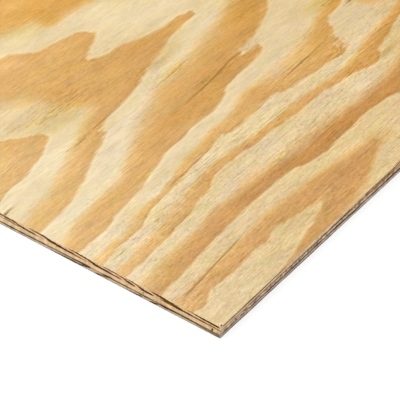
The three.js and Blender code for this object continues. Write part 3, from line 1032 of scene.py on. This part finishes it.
# Where the wood is paler or browner than the rest of its ring, and where it is yellower: along,
# across, how far that reaches each way, how much lighter and how much yellower.
tinted_patches = [
    (139, 287, 5, 4, -0.06, 0.2), (153, 292, 12, 6, 0.12, -0.1), (173, 306, 24, 12, 0.27, -0.25),
    (190, 288, 8, 6, 0.08, -0.12), (117, 261, 15, 8, 0.26, -0.1), (139, 276, 10, 5, 0.12, 0.03),
    (150, 280, 10, 5, -0.05, 0.2), (152, 276, 14, 7, 0.11, 0.2), (170, 270, 7, 4, -0.1, 0.25),
    (178, 264, 12, 3, 0.08, -0.12), (189, 270, 14, 10, 0.12, -0.04), (197, 257, 26, 4, 0.08, -0.03),
    (206, 268, 8, 5, -0.12, 0.25), (122, 244, 9, 5, 0.09, 0.02), (130, 238, 26, 10, 0.1, 0.04),
    (148, 254, 14, 2.5, -0.05, 0.17), (152, 229, 9, 4, 0.12, -0.02), (162, 246, 24, 5, 0.12, -0.02),
    (198, 238, 34, 18, 0.07, 0.0), (72, 204, 26, 8, 0.0, 0.12), (86, 197, 8, 4, -0.1, 0.08),
    (103, 201, 13, 22, -0.1, 0.16), (119, 206, 12, 5, -0.07, 0.0), (136, 210, 10, 4, 0.1, 0.0),
    (178, 204, 12, 4, -0.08, 0.07), (200, 212, 16, 4, -0.06, 0.16), (224, 201, 16, 4.5, 0.17, -0.1),
    (247, 206, 12, 4, -0.12, 0.04), (39, 193, 10, 8, 0.14, -0.02), (58, 170, 26, 9, 0.08, -0.02),
    (85, 189, 12, 4, -0.05, 0.18), (108, 165, 9, 3.5, -0.12, 0.1), (126, 187, 12, 12, -0.06, 0.1),
    (128, 168, 18, 4, -0.06, 0.0), (172, 170, 24, 5, -0.08, 0.16), (176, 183, 22, 4.5, -0.27, 0.14),
    (193, 189, 14, 4, -0.02, 0.14), (198, 188, 14, 4, -0.1, 0.08), (220, 194, 16, 3, -0.08, 0.1),
    (259, 181, 14, 9, -0.05, 0.16), (2, 157, 6, 2.5, -0.12, 0.0), (46, 137.5, 9, 2.5, -0.1, 0.06),
    (99, 136, 9, 3, 0.11, 0.08), (134, 137, 26, 4, -0.17, 0.0), (185, 147, 26, 6, -0.1, 0.04),
    (200, 162, 14, 5, -0.03, 0.14), (218, 149.5, 6, 2.5, 0.25, -0.2), (220, 145, 5, 2.5, -0.12, 0.0),
    (229, 145, 8, 3.5, -0.14, 0.1), (300, 138, 18, 6, -0.14, 0.34), (20, 116, 22, 5, -0.06, 0.0),
    (35, 127, 26, 3, 0.1, 0.0), (70, 121, 14, 4, -0.06, 0.0), (70, 112, 14, 2, 0.2, -0.12),
    (88, 128, 12, 3, 0.12, 0.02), (122, 107, 40, 5, -0.12, 0.05), (136, 124, 14, 2.5, 0.24, -0.08),
    (186, 114, 10, 3, -0.1, 0.1), (191, 109, 8, 7, -0.12, 0.04), (234, 117, 18, 6, 0.02, -0.16),
    (263, 112, 14, 6, -0.04, 0.1), (279, 114, 6, 3, -0.12, 0.1), (290, 130, 8, 3, 0.1, -0.05),
    (302, 108, 24, 12, 0.04, -0.14), (318, 119, 7, 5, -0.1, 0.2), (328, 106, 8, 8, 0.1, -0.2),
    (15, 103, 16, 2, 0.22, -0.04), (50, 97, 12, 3, -0.14, 0.04), (58, 83, 16, 3, -0.18, 0.1),
    (84, 86, 8, 3, -0.04, 0.26), (92, 76, 10, 3, -0.12, 0.0), (114, 81, 24, 3, -0.2, 0.06),
    (178, 99, 14, 3, 0.14, -0.06), (178, 77.5, 14, 2, -0.12, 0.08), (224, 78, 12, 3, 0.16, -0.06),
    (252, 83, 16, 3, 0.22, -0.1), (288, 92, 30, 6, 0.0, -0.2), (320, 100, 8, 4, -0.12, 0.04),
    (20, 57, 16, 4, -0.09, 0.06), (105, 64, 24, 3.5, 0.0, -0.12), (145, 57, 60, 4, -0.1, 0.0),
    (165, 68, 24, 5, 0.08, -0.06), (236, 64, 26, 8, 0.1, -0.12), (280, 70.2, 13, 1.8, -0.4, 0.1),
    (5, 36, 9, 16, 0.05, -0.1), (90, 40, 12, 4, -0.08, 0.0), (144, 28, 7, 3, 0.1, 0.0),
    (172, 27, 18, 6, 0.18, -0.12), (216, 43, 20, 2, -0.12, 0.0), (105, 2.5, 16, 2.5, -0.1, 0.0),
]

# Where the fibres were torn or lifted: along, across, how far that reaches each way, and how much.
torn_patches = [
    (168, 168, 22, 3, 1.6), (80, 169, 10, 3, 1.2), (92, 164, 5, 3, 1.2), (200, 145, 35, 3, 0.5),
    (230, 145, 8, 4, 0.7), (218, 146, 8, 5, 0.15), (225, 107, 32, 3, 0.9), (263, 100, 6, 4, 2.0),
    (259, 95, 7, 3, 1.0), (100, 98, 20, 4, 0.8), (170, 180, 26, 8, 0.6), (105, 205, 26, 11, 0.6),
    (168, 218, 22, 8, 0.6), (30, 33, 32, 3, 0.8), (140, 14, 16, 5, 0.7), (250, 73, 14, 5, 0.8),
    (143, 62, 12, 3, 0.9), (165, 61, 14, 3, 0.9), (180, 43, 12, 3, 0.9), (3, 159, 7, 3, 1.4),
    (313, 122, 6, 5, 1.8), (74, 192, 4, 4, 0.9),
]

# Each year's wood near the front left corner, from year 0 on: how dark its late wood and how tan
# its early wood is at the left end, from 0 to 1, and how much more of that there is for each 1000
# drawing units along. late_gold is how much more golden the late wood grows on the way.
late_dark = np.array([0.0, 0.06, 0.17, -0.15, 0.17, 0.5, 0.35, 0.4])
late_gain = np.array([4.5, 2.6, 2.2, 2.0, 1.9, 2.8, 2.8, 2.8])
late_gold = np.array([5.0, 4.5, 4.5, 4.0, 3.5, 0.8, 0.0, 0.0])
early_tan = np.array([0.1, 0.08, 0.0, 0.13, 0.26, 0.35, 0.68, 0.55])
early_gain = np.array([2.0, 2.0, 1.8, 2.0, 1.8, 2.0, 1.0, 4.0])
year_change = 0.35


def of_year(values, rings):
    """A value that each year has of its own, changing over at the start of the year."""
    year = np.floor(rings)
    here = np.clip(year, 0, len(values) - 1).astype(int)
    before = np.clip(year - 1, 0, len(values) - 1).astype(int)
    share = smooth(0.0, year_change, rings - year)
    return values[before] * (1 - share) + values[here] * share


def oval(a, b, at_a, at_b, long, wide):
    """A soft oval patch: 1 at its middle, and fading out over its length and its width."""
    return np.exp(-((a - at_a) / long) ** 2 - ((b - at_b) / wide) ** 2)


# How far from the corner the drawn figure begins to give way to the ruled one, and is gone.
drawn_until, ruled_from = 330, 560
late_cloud = lattice_noise(41, 230 * MM, 40 * MM)
mellow_cloud = lattice_noise(42, 500 * MM, 160 * MM)
darkest, far_dark, far_darkening = 1.05, 0.15, 0.8

# The late wood turns golden from gold_start on, and more so beyond gold_edge across the sheet.
gold_start, gold_edge, gold_more = 0.02, (255, 275), 0.7

# Early wood takes its year's tan a little before the year begins. It is tanner in a straw-coloured
# oval, and in a zone given by where it begins and ends across, then along, then along again.
early_by = 0.45
straw_oval, straw_more = (82, 204, 26, 15), 0.5
tan_across, tan_along, tan_ends, tan_more = (190, 215), (90, 130), (170, 215), 0.25

# How rough the sanded wood is: more beside the long edge, and less in the early wood beyond it.
plain_rough, low_rough, low_edge = 0.85, 0.5, (85, 115)
early_smooth, early_part, smooth_edge = 0.35, (0.3, 0.5), (95, 120)
fewest_rings = 4.0


def face_rough(a, b, flat):
    """How rough and lively the sanded wood is near the corner, about 1 where it is middling."""
    rough = plain_rough + low_rough * (1 - smooth(*low_edge, b))
    rough = rough * (1 - early_smooth * (1 - smooth(*early_part, flat % 1.0)) * smooth(*smooth_edge, b))
    for *patch, more in torn_patches:
        rough = rough + more * oval(a, b, *patch)
    return rough


def face_figure(x, y, z):
    """The values that the face's figure is drawn from."""
    a, b = drawn_place(x, y)
    near = 1 - smooth(drawn_until, ruled_from, np.hypot(a, b))
    flat = face_rings(x, y)
    slope = (face_rings(x + MM, y) - flat) / MM
    step = np.maximum(np.hypot(slope, (face_rings(x, y + MM) - flat) / MM), fewest_rings)
    depth = (sanded_face - z) / MM
    rings = np.interp(np.interp(flat, year_numbers, year_depths) - depth, year_depths, year_numbers)

    # How dark and how golden the late wood is, and how tan the early wood.
    metres = a / 1000
    deep = np.minimum(of_year(late_dark, flat) + of_year(late_gain, flat) * metres, darkest)
    deep = near * deep + (1 - near) * (far_dark + far_darkening * late_cloud(x, y))
    golden = of_year(late_gold, flat) * np.maximum(metres - gold_start, 0)
    golden = golden + gold_more * smooth(*gold_edge, b)
    golden = near * golden + (1 - near) * late_cloud(y, x)
    soon = flat + early_by
    straw = straw_more * oval(a, b, *straw_oval)
    mellow = of_year(early_tan, soon) + of_year(early_gain, soon) * metres + straw
    mellow = mellow + tan_more * smooth(*tan_across, b) * smooth(*tan_along, a) * (1 - smooth(*tan_ends, a))
    mellow = near * np.minimum(mellow, 1) + (1 - near) * mellow_cloud(x, y)

    # How torn, how rough and how soft it is, and its patches.
    distance, dark = nearest_check(x, y)
    teeth = 1.0
    for place in jagged:
        teeth = teeth + more_teeth * oval(a, b, *place)
    teeth = near * teeth + (1 - near) * far_teeth
    rough = near * face_rough(a, b, flat) + (1 - near)
    blur = edge_blurs[np.clip(np.round(flat), 0, len(edge_blurs) - 1).astype(int)]
    for *place, more in soft_ends:
        blur = blur + more * oval(a, b, *place)
    blur = near * blur + (1 - near)
    lighter, yellower = np.zeros(len(a)), np.zeros(len(a))
    for *place, light, yellow in tinted_patches:
        here = oval(a, b, *place)
        lighter, yellower = lighter + light * here, yellower + yellow * here
    streak, known = trace_streaks(face_end_streaks, face_edge_streaks,
                                  face_traced_across, face_traced_along, x, y, z)
    return {"streak": streak, "traced": known, "teeth": teeth, "rough": rough, "edge_blur": blur * MM,
            "lighter": lighter, "yellower": yellower, "ring": rings, "ring_slope": slope,
            "ring_step": step, "deep": deep, "golden": golden, "mellow": mellow,
            "check": distance, "check_depth": dark}


# The sander's dip in the early wood, and how far in from the sheet's edges it begins and is full.
sanded_dip = 0.06 * MM
dip_from, dip_full = 1 * MM, 6 * MM
dip_part = 0.3, 0.7


def face_relief(x, y):
    """How far the sander left the soft early wood below the hard late wood."""
    year = face_rings(x, y) % 1.0
    from_edge = np.minimum(np.minimum(x - left, right - x), np.minimum(y - front, rear - y))
    inside = smooth(dip_from, dip_full, from_edge)
    return sanded_dip * inside * (1 - smooth(*dip_part, year))


# The face's colours: early wood, honey and late wood, each pale and tanned, and what marks them, with the
# dent's painted shade.
early_pale, early_tanned = stain(243, 223, 183), stain(223, 193, 139)
honey_pale, honey_tanned = stain(237, 203, 144), stain(227, 189, 123)
late_pale, late_brown, late_golden = stain(241, 199, 135), stain(198, 139, 75), stain(221, 162, 66)
late_last = stain(160, 118, 74)
mark_colour, check_colour, pit_colour = stain(152, 104, 54), stain(152, 100, 42), stain(74, 46, 22)
lifted_colour, dent_shade = stain(255, 228, 190), stain(30, 10, 0)
less_red = 0.008

# The colours of its sawn ends and sawn edges: pale, streaked and much streaked; then the painted highlight
# along its long edges' upper rim, and the painted shade in the saw's hollows.
face_end_pale = stain(255, 216, 164), stain(255, 210, 164)
face_end_some = stain(150, 104, 18), stain(154, 96, 24)
face_end_much = stain(70, 42, 0), stain(72, 34, 2)
face_side_pale, face_side_some, face_side_much = stain(255, 222, 176), stain(170, 121, 64), stain(92, 53, 6)
face_worn_rim_highlight, face_hollow_shade = stain(255, 240, 212), stain(200, 200, 200)

# How far a ring's end wanders: in coarse teeth, in fine teeth, and in a slow waver.
coarse_teeth_size, fine_teeth_size, waver_size = 3.2 * MM, 6.0 * MM, 2.4 * MM
steepest = 60.0

# Zones beside a ring's end: its darkest late wood, the pale halo past it, and the broken line on it.
last_from, last_full = -3.5 * MM, -0.6 * MM
halo_from, halo_full = 2.8 * MM, 1.2 * MM
line_at, line_from, line_full = 0.35 * MM, 0.6 * MM, 0.1 * MM

# A check's line, in its half widths: how much it wobbles, where it fades out and where it is full.
check_wobble, check_fades, check_full = 2.2, 2.2, 0.5

# The dent beside the corner: where it is, how it is turned, the lifted fibres round it, as how wide
# and how long from their faint rim to their full, the dent in them, and how deep it shows.
dent_along, dent_across = 1.4 * MM, 0.3 * MM
dent_sine, dent_cosine = 0.5, 0.87
lifted_wide, lifted_long = (1.3 * MM, 0.7 * MM), (2.2 * MM, 1.2 * MM)
dent_wide, dent_long = (0.6 * MM, 0.4 * MM), (0.85 * MM, 0.6 * MM)
dent_low, dent_high = 0.25 * MM, 0.1 * MM

# Heights on the face's sawn sides: the glue below it, and the painted highlight along the upper rim of its
# long edges, where the arris is also a little rubbed.
face_glue_from, face_glue_full = 6.3 * MM, 5.8 * MM
worn_rim_highlight_from, worn_rim_highlight_full = 0.45 * MM, 0.15 * MM
face_relief_depth = 0.09 * MM

# Where in its year the wood turns to honey, to amber late wood, and dark on the sawn sides, and how
# dark a streak is where the streaked colour and the much streaked one begin and are full.
honey_part, amber_part, face_sawn_part = (0.34, 0.58), (0.42, 0.74), (0.55, 0.72)
face_some_from, face_much_from = (0.17, 0.5), (0.43, 0.88)


def face_finish():
    """Pale early wood and amber late wood in pointed flames, sanded, with its checks and its dent."""
    wood = Recipe(bpy.data.materials.new("face_veneer_pine"))
    grain, (x, y, z) = place_of(wood)
    end, edge = sawn_sides(wood)
    sawn = end + edge
    fibres = wood.noise(grain, (26, 900, 900), detail=3.0)
    fine_fibres = wood.noise(grain, (60, 2300, 2300), detail=2.0, seed=3.0)
    clouds = wood.noise(grain, (7, 60, 60), detail=2.0, seed=7.0)
    teeth = wood.noise(grain, (16, 420, 420), detail=2.0, seed=9.0)
    fine_teeth = wood.noise(grain, (40, 1300, 1300), detail=2.0, seed=12.0)
    waver = wood.noise(grain, (60, 160, 160), detail=3.0, seed=19.0) - 0.5
    tone = wood.noise(grain, (34, 110, 110), detail=3.0, seed=31.0, roughness=0.65) - 0.5
    nap = wood.noise(grain, (220, 750, 750), detail=1.0, seed=33.0, roughness=0.8) - 0.5
    long_hairs = wood.noise(grain, (55, 800, 800), detail=1.0, seed=47.0)
    short_hairs = wood.noise(grain, (150, 950, 950), detail=1.0, seed=53.0)
    mottle = wood.noise(grain, (500, 700, 700), detail=2.0, seed=35.0, roughness=0.9) - 0.5
    warmth = wood.noise(grain, (34, 80, 80), detail=3.0, seed=37.0, roughness=0.75) - 0.5
    flush = wood.noise(grain, (90, 120, 120), detail=1.0, seed=43.0, roughness=0.7) - 0.5

    # The year's ring, with the ragged ends that the knife and the sander left on it.
    wander = (teeth - 0.5) * coarse_teeth_size + (fine_teeth - 0.5) * fine_teeth_size
    wander = wander * wood.value_of("teeth")
    slope = wood.maths("MAXIMUM", wood.value_of("ring_slope"), -steepest)
    slope = wood.maths("MINIMUM", slope, steepest)
    count = wood.value_of("ring") + slope * wander + waver * wood.value_of("ring_step") * waver_size
    year = wood.maths("FRACT", count)
    is_late = wood.maths("GREATER_THAN", year, 0.5)
    past_edge = (year - is_late) / wood.value_of("ring_step")
    dusk = 1 - wood.ramp(past_edge / wood.value_of("edge_blur"), -1.0, 1.0)
    soft_year = year + (fibres - 0.5) * 0.2 + (clouds - 0.5) * 0.12 + tone * 0.2
    honeyed = wood.ramp(soft_year, *honey_part)
    amber = wood.ramp(soft_year, *amber_part)
    honeyed, amber = [wood.maths("MAXIMUM", share * (1 - is_late * (1 - dusk)), dusk * (1 - is_late))
                      for share in (honeyed, amber)]

    # Early wood, pale; then honey; then late wood, amber to brown and darkest where it ends.
    early = wood.mix(wood.value_of("mellow") + (clouds - 0.5) * 0.3, early_pale, early_tanned)
    honey = wood.mix(wood.value_of("mellow"), honey_pale, honey_tanned)
    deep = wood.value_of("deep") + (clouds - 0.5) * 0.4
    autumn = wood.mix(wood.ramp(deep, -0.3, 1.3), late_pale, late_brown)
    autumn = wood.mix(wood.value_of("golden") * 0.5, autumn, late_golden)
    last = wood.ramp(past_edge, last_from, last_full) * is_late
    aged = wood.ramp(year, 0.6, 1.0) * 0.12 + last * (0.05 + (clouds - 0.5) * 0.4)
    autumn = wood.mix(aged, autumn, late_last)
    colour = wood.mix(amber, wood.mix(honeyed, early, honey), autumn)

    # The sanded grain: threads, hairs, nap and slow changes of tone, livelier where it is rough.
    threads = wood.ramp(fibres, 0.42, 0.6) * amber
    rough = wood.value_of("rough")
    busy = wood.ramp(wood.noise(grain, (9, 50, 50), detail=2.0, seed=27.0), 0.35, 0.7)
    fine = (fine_fibres - 0.5) * (0.2 + amber * 0.2) + nap * 0.3 + mottle * 0.44
    dark_hairs = wood.ramp(long_hairs, 0.56, 0.72) + wood.ramp(short_hairs, 0.6, 0.72)
    light_hairs = wood.ramp(long_hairs, 0.42, 0.28) + wood.ramp(short_hairs, 0.38, 0.28)
    many = (0.05 + busy * 0.12) * rough
    dark_hairs, light_hairs = dark_hairs * many, light_hairs * many * 0.5
    lighter, yellower = wood.value_of("lighter"), wood.value_of("yellower")
    halo = wood.ramp(past_edge, halo_from, halo_full) * (1 - is_late)
    fuzz = fine * rough * (0.94 + amber * 0.14) + light_hairs - dark_hairs
    lively = wood.maths("MINIMUM", rough, 1.0)
    shading = 1.0 + tone * (0.26 + lively * 0.3) + (clouds - 0.5) * 0.16 - (threads - amber * 0.5) * 0.05
    shading = shading + halo * 0.05 + lighter
    shade = wood.node("ShaderNodeCombineColor", {}, {
        0: shading + fuzz * 0.85 + flush * lively * 0.09 - lighter * 0.25 - less_red,
        1: shading + fuzz * 1.1 - flush * lively * 0.09 - yellower * 0.1,
        2: shading + fuzz * (1.3 + amber * 0.5) - warmth * (0.26 + lively * 0.4) + lighter * 0.3 - yellower})
    colour = wood.mix(1.0, colour, shade, "MULTIPLY")

    # Brown dashes and specks, the broken brown line on each ring's end, and the checks.
    dashes = wood.ramp(wood.noise(grain, (80, 1200, 1200), detail=1.0, seed=21.0) + busy * 0.09, 0.72, 0.84)
    specks = wood.ramp(wood.noise(grain, (260, 800, 800), detail=1.0, seed=25.0) + busy * 0.05, 0.7, 0.8)
    marks = wood.maths("MAXIMUM", dashes * 0.5, specks * 0.4) * wood.ramp(rough, 0.35, 1.0)
    edge_line = wood.ramp(wood.maths("ABSOLUTE", past_edge + line_at), line_from, line_full)
    broken = wood.ramp(clouds + (fibres - 0.5) * 0.4, 0.5, 0.7)
    marks = wood.maths("MAXIMUM", marks, edge_line * broken * 0.35)
    colour = wood.mix(marks * (1 - sawn), colour, mark_colour)
    off_check = wood.value_of("check") + (fine_teeth - 0.5) * check_wobble
    line = wood.ramp(wood.maths("ABSOLUTE", off_check), check_fades, check_full)
    check = line * wood.value_of("check_depth") * (1 - sawn) * wood.ramp(fibres, 0.14, 0.36)
    pit = wood.ramp(wood.value_of("check_depth"), 0.86, 1.0)
    colour = wood.mix(check * 0.82, colour, wood.mix(pit, check_colour, pit_colour))

    # A small dent with bruised, lifted fibres beside the near corner; its near-black middle is painted shade
    # over the bruised wood, as the dent itself is not carved.
    off_along, off_across = x - (left + dent_along), y - (front + dent_across)
    beside = wood.maths("ABSOLUTE", off_along * dent_sine - off_across * dent_cosine)
    lengthwise = wood.maths("ABSOLUTE", off_along * dent_cosine + off_across * dent_sine)
    lifted = wood.ramp(beside, *lifted_wide) * wood.ramp(lengthwise, *lifted_long)
    dent = wood.ramp(beside, *dent_wide) * wood.ramp(lengthwise, *dent_long)
    dent = dent * wood.ramp(z, sanded_face - dent_low, sanded_face - dent_high)
    colour = wood.mix(lifted * 0.8, colour, lifted_colour)

    # The sawn ends and edges cut through the rings and show them as dark streaks.
    bits = saw_bits(wood, grain, edge, (900, 420, 800), (360, 900, 800))[0]
    tint = wood.noise(grain, (110, 110, 260), detail=1.0, seed=23.0)
    glue = wood.ramp(z + bits * 0.8 * MM, face_glue_from, face_glue_full)
    streak = wood.maths("MAXIMUM", wood.ramp(year + bits * 0.1, *face_sawn_part), glue * 0.8)
    streak = wood.mix(wood.value_of("traced"), streak, wood.value_of("streak"))
    streak = streak + bits * 0.8
    some, much = wood.ramp(streak, *face_some_from), wood.ramp(streak, *face_much_from)
    ends = wood.mix(some, in_turn(wood, tint, *face_end_pale), in_turn(wood, tint, *face_end_some))
    ends = wood.mix(much, ends, in_turn(wood, tint, *face_end_much))
    side = wood.mix(some, face_side_pale, face_side_some)
    side = wood.mix(much, side, face_side_much)
    sawn_colour = wood.mix(edge, ends, side)
    # Painted shade in the saw's hollows, then a painted highlight along the upper rim of the long edges.
    sawn_colour = shade_saw_hollows(wood, grain, sawn_colour, 0.5 + edge * 0.15 + bits, face_hollow_shade)
    worn_rim_highlight = wood.ramp(z, sanded_face - worn_rim_highlight_from, sanded_face - worn_rim_highlight_full) * edge
    sawn_colour = wood.mix(worn_rim_highlight * 0.5, sawn_colour, face_worn_rim_highlight)
    colour = wood.mix(sawn, colour, sawn_colour)
    colour = wood.mix(dent, colour, dent_shade)
    height = fine_fibres * 0.4 + fibres * 0.4 + (tone + nap) * rough - check * 2.0
    bump = wood.node("ShaderNodeBump", {},
                     {"Strength": 0.6, "Distance": face_relief_depth, "Height": height})
    return wood.finish(Base_Color=colour, Roughness=0.62, Specular_IOR_Level=0.12, Normal=bump)


# The face's sawn edge, upwards, and then its eased arris, as how far down and how far in.
face_arris = [(0.14 * MM, 0.05 * MM), (0.04 * MM, 0.15 * MM), (0.0, arris)]
face_tear = 0.12 * MM
face_rim = [(float(h), 0.0) for h in np.linspace(upper_glue_line, sanded_face - arris, rim_levels)]
face_rim += [(sanded_face - drop, inset) for drop, inset in face_arris]
face_veneer = lay_veneer("face_veneer_wood", face_rim, True, False, face_relief, face_figure)
saw(face_veneer, face_finish(), face_tear, fibres_along)
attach(face_veneer, "root")
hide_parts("face_veneer")

# ---------------------------------------------------------------------------------------------
# Studio. A plain pale floor, a high soft lamp from the back left, an even pale sky, and a camera
# that looks down over the sheet's near corner.
floor_size = 400.0

# The floor's shade for the light that it throws back on the sheet, and its shade and glow to look at.
floor_shade, shown_shade, shown_glow = 0.82, 0.22, 0.82
floor_mesh = bpy.data.meshes.new("floor")
corners = [(-1, -1), (1, -1), (1, 1), (-1, 1)]
floor_points = [(floor_size * a, floor_size * b, float(underside)) for a, b in corners]
floor_mesh.from_pydata(floor_points, [], [(0, 1, 2, 3)])
floor = bpy.data.objects.new("floor", floor_mesh)
bpy.context.scene.collection.objects.link(floor)


def grey(level):
    """A plain grey of so much linear light."""
    return level, level, level, 1


def seen_straight(recipe):
    """1 for what the camera sees straight, in gloss or through glass, and 0 for what lights the sheet."""
    rays = recipe.node("ShaderNodeLightPath", {}, {}).socket.node.outputs
    camera_ray, glossy_ray = Wire(recipe, rays["Is Camera Ray"]), Wire(recipe, rays["Is Glossy Ray"])
    straight = recipe.maths("MAXIMUM", camera_ray, glossy_ray)
    return recipe.maths("MAXIMUM", straight, Wire(recipe, rays["Is Transmission Ray"]))


def floor_finish():
    """A plain grey for the light that falls on the sheet, and near white with faint shadows to look at."""
    ground = Recipe(bpy.data.materials.new("floor_paper"))
    paper = ground.node("ShaderNodeBsdfDiffuse", {}, {"Color": grey(floor_shade)})
    faint = ground.node("ShaderNodeBsdfDiffuse", {}, {"Color": grey(shown_shade)})
    glow = ground.node("ShaderNodeEmission", {}, {"Color": grey(1), "Strength": shown_glow})
    shown = ground.node("ShaderNodeAddShader", {}, {0: faint, 1: glow})
    mixed = ground.node("ShaderNodeMixShader", {}, {0: seen_straight(ground), 1: paper, 2: shown})
    ground.give(ground.nodes["Material Output"].inputs["Surface"], mixed)
    return ground.block


floor.data.materials.append(floor_finish())

# The sky's strength for the light that it throws on the sheet, and its strength to look at.
sky_level, shown_sky = 0.62, 1.0
sky = Recipe(bpy.data.worlds.new("studio"), "Background")
sky_strength = sky.node("ShaderNodeMapRange", {},
                        {"Value": seen_straight(sky), "To Min": sky_level, "To Max": shown_sky})
bpy.context.scene.world = sky.finish(Color=grey(1), Strength=sky_strength)

# The lamp is wide, so its shadows are soft.
lamp = bpy.data.lights.new("soft_lamp", "SUN")
lamp.energy = 1.45
lamp.angle = math.radians(30)
lamp_towards = Vector((-0.45, 0.3, 0.84))
lamp_object = bpy.data.objects.new("soft_lamp", lamp)
lamp_object.rotation_mode = "QUATERNION"
lamp_object.rotation_quaternion = lamp_towards.to_track_quat("Z", "Y")
bpy.context.scene.collection.objects.link(lamp_object)

# The camera: the spot of the sanded face that it looks at, from the near corner, how far away it
# stands, how steeply it looks down and how far it is turned from the sheet's length, and its lens.
aim_along, aim_across = 80.62 * DRAWN, 74.91 * DRAWN
camera_away = 1050 * DRAWN
camera_down = math.radians(39.3748)
camera_turn = math.radians(37.1153)
focal_pixels, picture_pixels = 1767.18, 400
camera = bpy.data.cameras.new("camera")
camera.sensor_width = 36.0
camera.lens = camera.sensor_width * focal_pixels / picture_pixels
camera.clip_start, camera.clip_end = 0.05, 1000.0
looking = Vector((math.cos(camera_down) * math.cos(camera_turn),
                  math.cos(camera_down) * math.sin(camera_turn), -math.sin(camera_down)))
aim = Vector((left + aim_along, front + aim_across, sanded_face))
camera_object = bpy.data.objects.new("camera", camera)
camera_object.rotation_mode = "QUATERNION"
camera_object.location = aim - looking * camera_away
camera_object.rotation_quaternion = looking.to_track_quat("-Z", "Y")
bpy.context.scene.collection.objects.link(camera_object)
bpy.context.scene.camera = camera_object
bpy.context.scene.view_settings.view_transform = "Standard"
